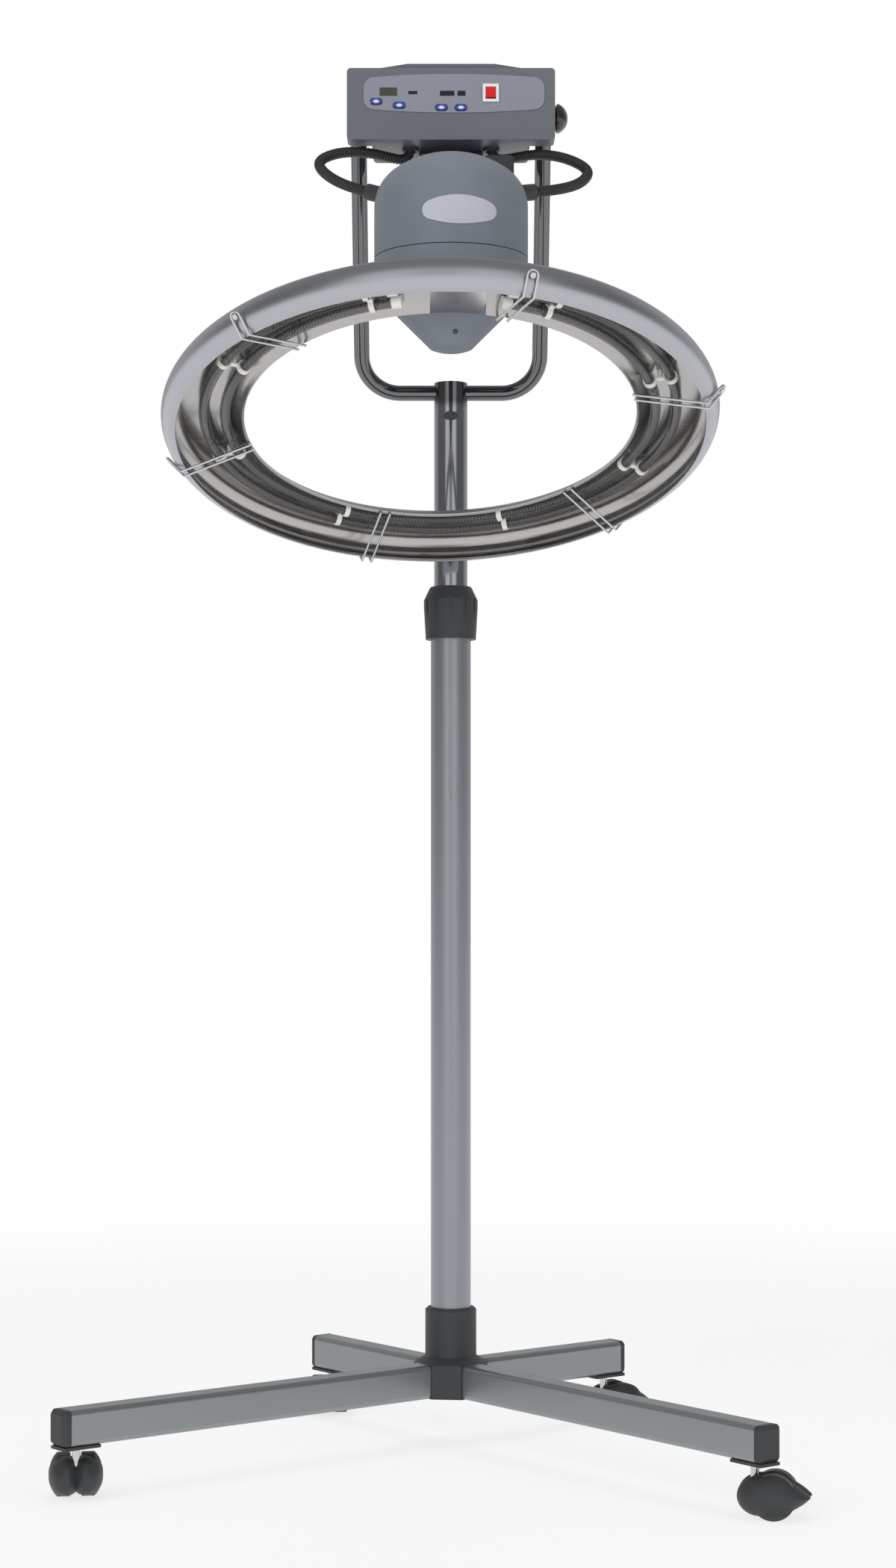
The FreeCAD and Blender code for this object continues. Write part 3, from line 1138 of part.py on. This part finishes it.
def check_and_export():
    """Stop if anything failed to build, then write each sub-part as a STEP file."""
    doc.recompute()
    failed = [item.Name for item in doc.Objects if {"Invalid", "Error"} & set(item.State)]
    bad = [item.Label for item in parts if item.Shape.isNull() or not item.Shape.isValid()]
    if failed or bad:
        raise RuntimeError("failed: %s; not valid: %s" % (failed, bad))
    os.makedirs("parts", exist_ok=True)
    for item in parts:
        item.Shape.exportStep("parts/%s.step" % item.Label)
        print("%-28s %2d solids %10.1f mm3" % (item.Label, len(item.Shape.Solids), item.Shape.Volume))
    print(len(parts), "sub-parts")


base()
for place in LEG_QUARTER:
    castor(place)
mast()
upper_mast()
fork()
fascia()
rear_shell()
panel()
rocker_switch()
box_fittings()
motor_head()
badge()
conduits()
ring()
check_and_export()
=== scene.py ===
import json
from math import pi, radians

import bpy
import numpy as np
from mathutils import Matrix, Vector


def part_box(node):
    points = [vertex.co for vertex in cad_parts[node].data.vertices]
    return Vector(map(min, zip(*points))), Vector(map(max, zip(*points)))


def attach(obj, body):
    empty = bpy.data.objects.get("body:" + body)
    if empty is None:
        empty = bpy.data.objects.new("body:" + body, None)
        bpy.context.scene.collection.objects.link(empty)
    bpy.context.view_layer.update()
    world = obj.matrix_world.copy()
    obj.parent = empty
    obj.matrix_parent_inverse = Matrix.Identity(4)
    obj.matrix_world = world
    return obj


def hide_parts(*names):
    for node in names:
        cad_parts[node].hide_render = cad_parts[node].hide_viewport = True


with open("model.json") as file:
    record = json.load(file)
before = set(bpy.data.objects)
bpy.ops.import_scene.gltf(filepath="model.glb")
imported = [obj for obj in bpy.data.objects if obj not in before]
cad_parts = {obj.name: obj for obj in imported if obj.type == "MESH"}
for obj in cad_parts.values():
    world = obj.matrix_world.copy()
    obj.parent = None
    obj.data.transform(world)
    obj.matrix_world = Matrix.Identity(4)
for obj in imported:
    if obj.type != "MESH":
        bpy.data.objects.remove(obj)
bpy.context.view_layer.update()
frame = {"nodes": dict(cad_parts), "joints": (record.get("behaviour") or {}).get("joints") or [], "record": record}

# Looks of the hair colour processor, in metres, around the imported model. +Z is up, the
# control panel faces -Y, and the origin lies on the floor under the mast's axis.

MM = 0.001


# ---- camera, light and floor ----

FRAME_HIGH = 2099            # rows of the frame, 1200 columns wide, that the view is worked out in
FOCAL_PX = 3800.0            # focal length in pixels of that frame
AXIS_ROW = 1153.8            # row where the lens's axis meets that frame
PITCH = radians(0.89)
CAMERA_AT = (-0.00295, -2.985, 0.5635)
LIT_AT = (0, -0.2, 1.1)      # what the softboxes look at


def add_camera():
    """The view in which a pixel's row and column give the object's real places."""
    bpy.context.scene.view_settings.view_transform = "Standard"
    data = bpy.data.cameras.new("camera")
    data.sensor_width = 36.0
    data.sensor_fit = "AUTO"
    data.lens = FOCAL_PX * data.sensor_width / FRAME_HIGH
    data.shift_y = (AXIS_ROW - FRAME_HIGH / 2) / FRAME_HIGH
    camera = bpy.data.objects.new("camera", data)
    bpy.context.scene.collection.objects.link(camera)
    camera.location = CAMERA_AT
    camera.rotation_euler = (pi / 2 + PITCH, 0, 0)
    bpy.context.scene.camera = camera


def softbox(name, place, target, wide, high, watts):
    """A rectangular area lamp that looks at a target."""
    data = bpy.data.lights.new(name, "AREA")
    data.shape = "RECTANGLE"
    data.size, data.size_y, data.energy = wide, high, watts
    lamp = bpy.data.objects.new(name, data)
    bpy.context.scene.collection.objects.link(lamp)
    lamp.location = place
    lamp.visible_glossy = False          # bright metal mirrors the room alone
    lamp.rotation_euler = (Vector(target) - Vector(place)).to_track_quat("-Z", "Y").to_euler()


def add_lights():
    softbox("key_softbox", (-1.9, -2.3, 2.6), LIT_AT, 1.5, 1.7, 44)
    softbox("fill_softbox", (2.2, -1.9, 1.2), LIT_AT, 1.0, 2.0, 22)
    softbox("top_softbox", (0.1, 0.3, 3.2), LIT_AT, 1.8, 1.4, 24)
    softbox("low_softbox", (-0.3, -3.0, 0.5), (0, -0.2, 0.7), 2.4, 0.9, 26)


# ---- shader maths ----

class Wire:
    """A socket in a tree; Python's operators on it add Math nodes."""

    def __init__(self, tree, socket):
        self.tree, self.socket = tree, socket

    def math(self, operation, *values):
        return self.tree.node("Math", {"operation": operation}, dict(enumerate(values)))

    def __add__(self, other):
        return self.math("ADD", self, other)

    def __sub__(self, other):
        return self.math("SUBTRACT", self, other)

    def __rsub__(self, other):
        return self.math("SUBTRACT", other, self)

    def __mul__(self, other):
        return self.math("MULTIPLY", self, other)

    def __pow__(self, other):
        return self.math("POWER", self, other)

    __radd__, __rmul__ = __add__, __mul__

    def step(self, low, high):
        """0 below low, 1 above high, and a smooth rise between."""
        values = {"Value": self, "From Min": low, "From Max": high}
        return self.tree.node("MapRange", {"interpolation_type": "SMOOTHSTEP"}, values)

    def band(self, low, high, soft):
        """1 between low and high, and 0 outside them, with soft edges."""
        return self.step(low - soft, low + soft) * (1 - self.step(high - soft, high + soft))

    def most(self, other):
        """The larger of two values."""
        return self.math("MAXIMUM", self, other)

    def size(self):
        """The value without its sign."""
        return self.math("ABSOLUTE", self)


class Tree:
    """The nodes of a material or of the world."""

    def __init__(self, nodes_of):
        nodes_of.use_nodes = True
        self.tree = nodes_of.node_tree

    def link(self, value, socket):
        """Give a socket a constant or a wire."""
        if isinstance(value, Wire):
            self.tree.links.new(value.socket, socket)
        else:
            socket.default_value = value

    def node(self, kind, settings=(), inputs=(), output=0):
        """A node of a kind, with its settings and the values or wires of its sockets."""
        made = self.tree.nodes.new("ShaderNode" + kind)
        for key, value in dict(settings).items():
            setattr(made, key, value)
        for key, value in dict(inputs).items():
            self.link(value, made.inputs[key])
        return Wire(self, made.outputs[output])

    def mix(self, factor, first, second):
        """From the first colour to the second as the factor goes from 0 to 1."""
        made = self.tree.nodes.new("ShaderNodeMix")
        made.data_type = "RGBA"
        sockets = [item for item in made.inputs if item.enabled]
        for socket, value in zip(sockets, (factor, first, second)):
            plain = isinstance(value, (Wire, float, int))
            self.link(value if plain else (*value[:3], 1.0), socket)
        return Wire(self, [item for item in made.outputs if item.enabled][0])

    def part(self, vector, name):
        """X, Y or Z of a vector."""
        return self.node("SeparateXYZ", inputs={0: vector}, output=name)

    def ray(self, name):
        """1 where a ray is of a kind, such as Camera, and 0 elsewhere."""
        return self.node("LightPath", output="Is %s Ray" % name)


class Paint(Tree):
    """A material around one Principled shader, with helpers for its patterns."""

    def __init__(self, name, color, roughness, metallic=0.0, **constants):
        self.material = bpy.data.materials.new(name)
        super().__init__(self.material)
        self.shader = self.tree.nodes["Principled BSDF"]
        self.set("Base Color", (*color, 1.0))
        self.set("Roughness", roughness)
        self.set("Metallic", metallic)
        for socket, value in constants.items():
            self.set(socket.replace("_", " "), value)
        self.place = self.node("TexCoord", output="Object")

    def set(self, name, value):
        self.link(value, self.shader.inputs[name])

    def axis(self, name):
        """X, Y or Z of the place on the object, in metres."""
        return self.part(self.place, name)

    def attribute(self, name):
        """A number that the piece's mesh holds at each point."""
        return self.node("Attribute", {"attribute_name": name}, output="Fac")

    def noise(self, scale, detail=2.0, stretch=(1, 1, 1), rough=0.5):
        """Cloudy noise from 0 to 1, drawn out on the axes where the stretch is small."""
        place = self.node("Mapping", inputs={"Vector": self.place, "Scale": stretch})
        values = {"Vector": place, "Scale": scale, "Detail": detail, "Roughness": rough}
        return self.node("TexNoise", inputs=values)

    def bump(self, height, distance, strength=1.0):
        """Raise the surface by a height, with distance the size of its relief in metres."""
        values = {"Height": height, "Distance": distance, "Strength": strength}
        self.set("Normal", self.node("Bump", inputs=values, output="Normal"))


# ---- room and floor ----

ROOM_GREY = 0.36             # the room as it lights the object
MIRRORED_GREY = 0.30         # floor and ceiling in metal's mirror
MIRRORED_WALL = 0.64         # what the walls between them add to that
WALL_FOOT, WALL_TOP = -0.55, 0.66                  # sines of the wall's lower and upper height
GAP_ENDS = (0.06, 0.22)      # turn from the way to the camera, in radians, of the gap's soft edge
PANEL_ENDS = (0.50, 0.80)    # the same where the bright panels end
REAR_STARTS = (1.5, 2.2)     # the same where the half-dark rear wall starts


def add_world():
    """A plain pale room: white where it is seen, a softer grey where it lights.

    Metal mirrors a grey ceiling and floor. Between them stand two bright panels, beside a darker
    gap at the camera, with dark walls at the sides and a less dark one behind the object. It gives
    bright tubes their dark lines and edges.
    """
    world = bpy.data.worlds.new("room")
    bpy.context.scene.world = world
    tree = Tree(world)
    way = tree.node("TexCoord", output="Generated")
    across, ahead, up = (tree.part(way, name) for name in "XYZ")
    turn = across.math("ARCTAN2", across, ahead * -1.0).size()
    dark = 0.86 * turn.step(*PANEL_ENDS) - 0.42 * turn.step(*REAR_STARTS)
    dark = dark + 0.65 * (1 - turn.step(*GAP_ENDS))
    wall = up.band(WALL_FOOT, WALL_TOP, 0.14)
    glossy = tree.ray("Glossy")
    plain = tree.ray("Camera").most(tree.ray("Transmission"))
    mirrored = MIRRORED_GREY + wall * (MIRRORED_WALL - 0.86 * dark)
    lit = glossy * mirrored + (1 - glossy) * ROOM_GREY
    shader = tree.tree.nodes["Background"]
    shader.inputs["Color"].default_value = (1, 1, 1, 1)
    tree.link(plain + (1 - plain) * lit, shader.inputs["Strength"])


def add_floor():
    """A large pale disc that fades into the backdrop and keeps the object's shadow.

    Seen from the camera or in a mirror, it glows white by a share that grows from its middle
    outwards, and the rest of it is lit paper.
    """
    reach, sides, below = 30.0, 96, 0.4 * MM
    fade_starts, fade_ends, middle_share = 0.6, 2.6, 0.76
    turn = np.linspace(0, 2 * pi, sides, endpoint=False)
    rim = np.stack([reach * np.cos(turn), reach * np.sin(turn), np.full(sides, -below)], axis=1)
    mesh = bpy.data.meshes.new("floor")
    mesh.from_pydata(rim.tolist(), [], [list(range(sides))])
    floor = bpy.data.objects.new("floor", mesh)
    bpy.context.scene.collection.objects.link(floor)
    paper = Paint("floor_paper", (0.93, 0.93, 0.93), 0.9)
    distance = (paper.axis("X") ** 2 + paper.axis("Y") ** 2) ** 0.5
    seen = paper.ray("Camera").most(paper.ray("Glossy")).most(paper.ray("Transmission"))
    fade = distance.step(fade_starts, fade_ends)
    share = (middle_share + (1 - middle_share) * fade) * seen
    glow = paper.node("Emission", inputs={"Strength": 1.0})
    mixed = paper.node("MixShader", inputs={0: share, 2: glow})
    paper.tree.links.new(paper.shader.outputs["BSDF"], mixed.socket.node.inputs[1])
    paper.link(mixed, paper.tree.nodes["Material Output"].inputs["Surface"])
    mesh.materials.append(paper.material)


# ---- finishes ----

def shade(color, factor):
    """A colour made darker or lighter by a factor."""
    return tuple(channel * factor for channel in color)


def dye(paint, color, spread, drift, tint):
    """Give a paint what its tint says, or else its colour with a drift of some spread."""
    if tint:
        paint.set("Base Color", tint(paint))
    else:
        ends = shade(color, 1 - spread), shade(color, 1 + spread)
        paint.set("Base Color", paint.mix(drift, *ends))


def moulded(name, color, roughness, grain=0.05 * MM, spread=0.10, tint=None, **constants):
    """Moulded or lacquered plastic: fine spark texture, slow drift and faint handling marks."""
    paint = Paint(name, color, roughness, **constants)
    drift = paint.noise(26.0, 3.0)
    rub = paint.noise(9.0, 5.0, rough=0.65).step(0.52, 0.78)
    dye(paint, color, spread, drift, tint)
    paint.set("Roughness", roughness + 0.10 * (drift - 0.5) - 0.07 * rub)
    paint.bump(paint.noise(2600.0, 1.0), grain, 0.5)
    return paint


def brushed(name, color, roughness, stretch, metallic=1.0, spread=0.08,
            relief=0.015 * MM, tint=None):
    """Metal with fine lines along the axis that the pattern is stretched on."""
    paint = Paint(name, color, roughness, metallic)
    lines = paint.noise(900.0, 3.0, stretch)
    cloud = paint.noise(14.0, 4.0, rough=0.6)
    dye(paint, color, spread, lines * 0.6 + cloud * 0.4, tint)
    paint.set("Roughness", roughness + 0.12 * (lines - 0.5) + 0.10 * (cloud - 0.5))
    paint.bump(lines, relief, 0.6)
    return paint


def chrome_painted_shade(paint):
    """Grey chrome, with painted shade making the fork darker above the mast's joint line."""
    # painted shade: the same chrome made darker on the fork, where its reflections fall dimmer
    fork = paint.axis("Z").step(1.085, 1.095)
    return paint.mix(fork, (0.38, 0.39, 0.41), (0.17, 0.173, 0.18))


def display_tint(paint):
    """Smoked windows: the timer's grey-green glass on the left, and darker ones beside it."""
    others = paint.axis("X").step(-0.050, -0.047)
    return paint.mix(others, (0.052, 0.052, 0.043), (0.012, 0.012, 0.014))


def key_tint(paint):
    """Blue rings that pass into a pale middle."""
    rim = paint.attribute("share").step(0.40, 0.56)
    return paint.mix(rim, (0.62, 0.66, 0.78), (0.035, 0.060, 0.30))


# how a brushed pattern is stretched: along the mast, round the ring, along the legs, or not
ALONG_Z, ROUND_Z, LEVEL, EVEN = (1, 1, 0.012), (0.02, 0.02, 1), (0.06, 0.06, 1), (1, 1, 1)


def make_paints():
    """One material for each of the record's slots."""
    fine, faint = 0.02 * MM, 0.01 * MM             # grains finer than the common one
    paints = {
        "black_plastic": moulded("black_plastic", (0.030, 0.032, 0.034), 0.50),
        "wheel_rubber": moulded("wheel_nylon", (0.024, 0.026, 0.027), 0.46),
        "nylon": moulded("nylon", (0.030, 0.031, 0.033), 0.5),
        "leg_silver": brushed("leg_silver", (0.30, 0.32, 0.33), 0.36, LEVEL, metallic=0.85),
        "mast_silver": brushed("mast_silver", (0.32, 0.335, 0.36), 0.33, ALONG_Z, metallic=0.9),
        # the fork's part of this chrome carries painted shade
        "chrome_tube": brushed("chrome_tube", (0.50, 0.51, 0.53), 0.10, ALONG_Z,
                               relief=0.004 * MM, tint=chrome_painted_shade),
        "casing_grey": moulded("casing_grey", (0.115, 0.125, 0.145), 0.42),
        "head_grey": moulded("head_grey", (0.150, 0.172, 0.196), 0.55),
        "arm_grey": moulded("arm_grey", (0.140, 0.160, 0.185), 0.45),
        "overlay_lilac": moulded("overlay_lilac", (0.215, 0.222, 0.265), 0.40, fine, 0.05),
        "display_dark": moulded("display_dark", (0.050, 0.050, 0.042), 0.16, faint,
                                tint=display_tint),
        "key_blue": moulded("key_blue", (0.05, 0.09, 0.42), 0.32, tint=key_tint),
        "bezel_white": moulded("bezel_white", (0.72, 0.72, 0.72), 0.28, spread=0.03),
        "rocker_red": moulded("rocker_red", (0.62, 0.012, 0.014), 0.20, spread=0.06),
        "knob_black": moulded("knob_black", (0.022, 0.018, 0.016), 0.12, faint, Coat_Weight=0.6),
        "badge_pale": moulded("badge_pale", (0.43, 0.43, 0.49), 0.38, faint, 0.04),
        "board_green": moulded("board_green", (0.03, 0.16, 0.06), 0.4),
        "motor_steel": brushed("motor_steel", (0.40, 0.40, 0.42), 0.4, EVEN),
        "screw_steel": brushed("screw_steel", (0.62, 0.62, 0.63), 0.20, EVEN, spread=0.05),
        "conduit_black": moulded("conduit_black", (0.018, 0.018, 0.019), 0.38),
        "ring_satin": brushed("ring_satin", (0.47, 0.48, 0.515), 0.36, ROUND_Z, spread=0.05,
                              relief=0.006 * MM),
        "reflector_bright": brushed("reflector_bright", (0.48, 0.465, 0.455), 0.20, ROUND_Z,
                                    spread=0.10, relief=0.01 * MM),
        # painted reflection: the neck's brownish, darker tone stands in for the floor it mirrors
        "neck_bright": brushed("neck_bright", (0.42, 0.38, 0.37), 0.22, EVEN),
        "quartz": moulded("quartz", (0.035, 0.033, 0.032), 0.10, grain=0.0, Alpha=0.55,
                          Coat_Weight=0.6),
        "ceramic_white": moulded("ceramic_white", (0.74, 0.73, 0.69), 0.40, spread=0.04),
    }
    return {slot: paint.material for slot, paint in paints.items()}


def paint_nodes(paints):
    """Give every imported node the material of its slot."""
    slots = {item["node"]: item["material_slot"] for item in frame["record"]["subparts"]}
    for name, thing in frame["nodes"].items():
        for index in range(len(thing.material_slots)):
            thing.material_slots[index].link = "OBJECT"
            thing.material_slots[index].material = paints[slots[name]]


# ---- meshes ----

PIVOT = np.array([0.0, -0.13392, 1.35736])         # tilt axis of the head, at rest
ORBIT = PIVOT + [0.0, -0.166, 0.0]                 # on the axis that the ring orbits on
RING_CENTRE = ORBIT + [-0.010, 0.0, -0.3356]       # middle of the ring, a little to the left
RING_TURN = Matrix.Rotation(radians(3.2), 3, "Z") @ Matrix.Rotation(radians(-20.6), 3, "X")


def piece(name, points, faces, slot, body, replaced=(), crease=40):
    """One object from points and faces: its finish from a slot, its motion from a body."""
    mesh = bpy.data.meshes.new(name)
    mesh.from_pydata(points.tolist(), [], faces)
    mesh.shade_smooth()
    mesh.set_sharp_from_angle(angle=radians(crease))
    mesh.materials.append(PAINTS[slot])
    thing = bpy.data.objects.new(name, mesh)
    bpy.context.scene.collection.objects.link(thing)
    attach(thing, body)
    if replaced:
        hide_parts(*replaced)
    return thing


def skin(rings):
    """Points and outward faces of a closed skin over a row of rings, (rows, columns, 3).

    Each ring is joined to the next by quads, and the first and last rings are capped. The sign of
    the solid's volume, a sixth of the sum of a . (b x c) over its triangles, tells whether the
    faces have to be turned round.
    """
    rows, columns = rings.shape[:2]
    index = np.arange(rows * columns).reshape(rows, columns)
    index = np.hstack([index, index[:, :1]])
    corners = [index[:-1, :-1], index[:-1, 1:], index[1:, 1:], index[1:, :-1]]
    quads = np.stack(corners, axis=-1).reshape(-1, 4)
    points = rings.reshape(-1, 3)
    a, b, c, d = (points[quads[:, corner]] - points.mean(axis=0) for corner in range(4))
    volume = (a * (np.cross(b, c) + np.cross(c, d))).sum()
    faces = quads.tolist()
    faces += [index[0, :-1][::-1].tolist(), index[-1, :-1].tolist()]
    return points, faces if volume > 0 else [face[::-1] for face in faces]


def lathe(profile, columns):
    """Rings of a profile of (radius, height) turned about Z: (r cos t, r sin t, h)."""
    radius, height = np.array(profile, float).T[:, :, None]
    turn = np.linspace(0, 2 * pi, columns, endpoint=False)
    return np.stack([radius * np.cos(turn), radius * np.sin(turn), height + 0 * turn], axis=-1)


def tube(line, radius, columns, guide=(0.0, 1.0, 0.0)):
    """Rings about a line of points, line + r (cos t side + sin t rise).

    The side is at right angles to the line and to the guide, so no stretch of the line may run
    along the guide.
    """
    ahead = np.gradient(line, axis=0)
    side = np.cross(ahead, guide)
    side /= np.linalg.norm(side, axis=1)[:, None]
    rise = np.cross(side, ahead)
    rise /= np.linalg.norm(rise, axis=1)[:, None]
    turn = np.linspace(0, 2 * pi, columns, endpoint=False)[None, :, None]
    radius = np.broadcast_to(radius, len(line))[:, None, None]
    return line[:, None] + radius * (np.cos(turn) * side[:, None] + np.sin(turn) * rise[:, None])


def placed(points, origin, turn):
    """Points turned by a 3 by 3 matrix and moved to an origin."""
    return points @ np.array(turn).T + origin


def facing(direction):
    """The turn that brings +Z to a direction."""
    return Vector(direction).to_track_quat("Z", "Y").to_matrix()


# ---- conduits ----

# control points from the box's underside to the dome's sides, in mm from the tilt axis's middle
CONDUIT_ROUTES = {
    "left": [
        (-40.5, -6.0, -24.0), (-40.5, -6.0, -38.0), (-48.0, -9.0, -44.5), (-61.0, -14.0, -43.0),
        (-83.0, -23.0, -40.2), (-107.8, -38.0, -43.6), (-126.4, -62.0, -55.8),
        (-130.2, -92.0, -71.4), (-118.2, -122.0, -90.6), (-96.4, -143.0, -106.0),
        (-79.5, -152.0, -112.3),
    ],
    "right": [
        (40.5, -6.0, -24.0), (40.5, -6.0, -38.0), (48.0, -9.0, -44.5), (62.4, -14.0, -43.5),
        (84.7, -23.0, -41.8), (109.1, -38.0, -48.2), (129.1, -62.0, -62.9),
        (135.4, -92.0, -79.3), (124.2, -122.0, -97.5), (100.9, -143.0, -108.5),
        (79.5, -152.9, -112.8),
    ],
}


def smooth_line(route):
    """Points along the NURBS line that has the route as its control points."""
    line = bpy.data.curves.new("route", "CURVE")
    line.dimensions = "3D"
    spline = line.splines.new("NURBS")
    spline.points.add(len(route) - 1)
    spline.points.foreach_set("co", np.hstack([route, np.ones((len(route), 1))]).ravel())
    spline.order_u = 3
    spline.use_endpoint_u = True
    spline.resolution_u = 40
    holder = bpy.data.objects.new("route", line)
    mesh = bpy.data.meshes.new_from_object(holder)
    points = np.empty(len(mesh.vertices) * 3)
    mesh.vertices.foreach_get("co", points)
    bpy.data.objects.remove(holder)
    bpy.data.curves.remove(line)
    bpy.data.meshes.remove(mesh)
    return points.reshape(-1, 3)


def conduits():
    """Black corrugated conduits: tubes whose radius falls from crest to groove once each pitch.

    r(s) = crest - depth ((1 - cos(2 pi s / pitch)) / 2) ^ 1.4
    """
    crest, depth, pitch, rows = 5.2 * MM, 0.95 * MM, 2.9 * MM, 8
    for side, route in CONDUIT_ROUTES.items():
        line = smooth_line(np.array(route) * MM + PIVOT)
        run = np.concatenate([[0], np.cumsum(np.linalg.norm(np.diff(line, axis=0), axis=1))])
        count = round(run[-1] / pitch) * rows + 1
        stations = np.linspace(0, run[-1], count)
        line = np.stack([np.interp(stations, run, line[:, axis]) for axis in range(3)], axis=1)
        wave = (0.5 - 0.5 * np.cos(2 * pi * np.arange(count) / rows)) ** 1.4
        shape = skin(tube(line, crest - depth * wave, 18))
        name = "conduit_" + side
        thing = piece("corrugated_" + name, *shape, "conduit_black", "head", [name], crease=75)


# ---- lamps, keys and small trim ----

def coils():
    """Heating coils in the quartz lamps: helices on arcs about the ring's axis.

    At turn t the coil's middle is (R sin t, -R cos t, h), and the wire's line goes round it at
    radius c with k t for its phase.
    """
    coil, wire, pitch, height, rows = 2.4 * MM, 0.55 * MM, 3.4 * MM, 6 * MM, 9
    low, high = radians(16), radians(344)          # from the neck all round to the neck
    for name, radius in (("inner", 204 * MM), ("outer", 224 * MM)):
        count = round(radius * (high - low) / pitch)
        turn = np.linspace(low, high, count * rows + 1)
        phase = 2 * pi * np.arange(len(turn)) / rows
        out = radius + coil * np.cos(phase)
        up = height + coil * np.sin(phase)
        line = np.stack([out * np.sin(turn), -out * np.cos(turn), up], axis=1)
        line = placed(line, RING_CENTRE, RING_TURN)
        shape = skin(tube(line, wire, 5, guide=tuple(RING_TURN.col[2])))
        piece("coil_" + name, *shape, "screw_steel", "orbiter", crease=80)


def castor_covers():
    """Swollen covers of the castors, two lobes each, over the wheels.

    With x ahead from the axle and z up, a cover's side is the drop (a cos t, b sin t sin(t/2)^0.7),
    cut flat above the floor. At a share s of its half width from the middle it is drawn in by
    (1 - |s|^p)^(1 / p), less a groove between the lobes, 1 - d exp(-(s / g)^2).
    """
    length, height, half, floor_gap = 35 * MM, 24 * MM, 26 * MM, 4 * MM
    drop_power, width_power = 0.7, 2.6
    groove_depth, groove_half = 0.22, 0.16
    turn = np.linspace(0.02, 2 * pi - 0.02, 56)
    rise = np.sin(turn) * np.sin(turn / 2) ** drop_power
    side = np.stack([length * np.cos(turn), height * rise], axis=1)
    steps = np.sin(np.linspace(-pi / 2, pi / 2, 25)) * 0.995
    drawn = (1 - np.abs(steps) ** width_power) ** (1 / width_power)
    drawn = drawn * (1 - groove_depth * np.exp(-((steps / groove_half) ** 2)))
    for joint in frame["joints"]:
        if not joint["name"].startswith("roll_a_"):
            continue
        corner = joint["name"].removeprefix("roll_a_")
        axle, across = Vector(joint["pos_m"]), Vector(joint["axis"])
        ahead = across.cross((0, 0, 1))
        x, z = (drawn[:, None] * side[:, axis] for axis in range(2))
        z = np.maximum(z, floor_gap - axle.z)
        y = half * steps[:, None] + 0 * x
        rings = np.stack([x, y, z], axis=-1) @ np.array([ahead, across, (0, 0, 1)])
        piece("cover_" + corner, *skin(rings + np.array(axle)), "black_plastic",
              "castor_" + corner, ["castor_hood_" + corner])


def small_trim():
    """Dark pan-head screw on the rotor's cone."""
    place, way = ORBIT + [0.004, -0.0302, -0.2550], (0.1, -1.0, -1.0)
    profile = np.array([(0.4, 1.3), (1.9, 1.2), (2.6, 0.5), (2.7, -1.0), (0.4, -1.0)]) * MM
    points, faces = skin(lathe(profile, 20))
    piece("cone_screw", placed(points, place, facing(way)), faces, "knob_black", "orbiter")


def keys():
    """Oval keys: rings from the rim over a bevel to a dished middle, (a s cos t, b s sin t).

    Each step is a share s of the key's half width and height, and a share of its depth from the
    front. The attribute "share" holds each point's s, which the finish uses for the pale middle.
    """
    steps = np.array([(1.0, 1.0), (1.0, 0.22), (0.95, 0.05), (0.87, 0.0),
                      (0.55, 0.04), (0.45, 0.14), (0.1, 0.18)])
    turn = np.linspace(0, 2 * pi, 40, endpoint=False)
    share, depth = steps.T[:, :, None]
    for name in ("power", "mode", "minus", "plus"):
        low, high = (np.array(corner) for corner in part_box("button_" + name))
        middle, half = (low + high) / 2, (high - low) / 2
        x = middle[0] + half[0] * share * np.cos(turn)
        y = low[1] + 2 * half[1] * depth + 0 * turn
        z = middle[2] + half[2] * share * np.sin(turn)
        thing = piece("oval_key_" + name, *skin(np.stack([x, y, z], axis=-1)), "key_blue",
                      "key_" + name, ["button_" + name])
        held = thing.data.attributes.new("share", "FLOAT", "POINT")
        held.data.foreach_set("value", np.repeat(steps[:, 0], len(turn)))


add_camera()
add_lights()
add_world()
add_floor()
PAINTS = make_paints()
paint_nodes(PAINTS)
conduits()
coils()
keys()
castor_covers()
small_trim()
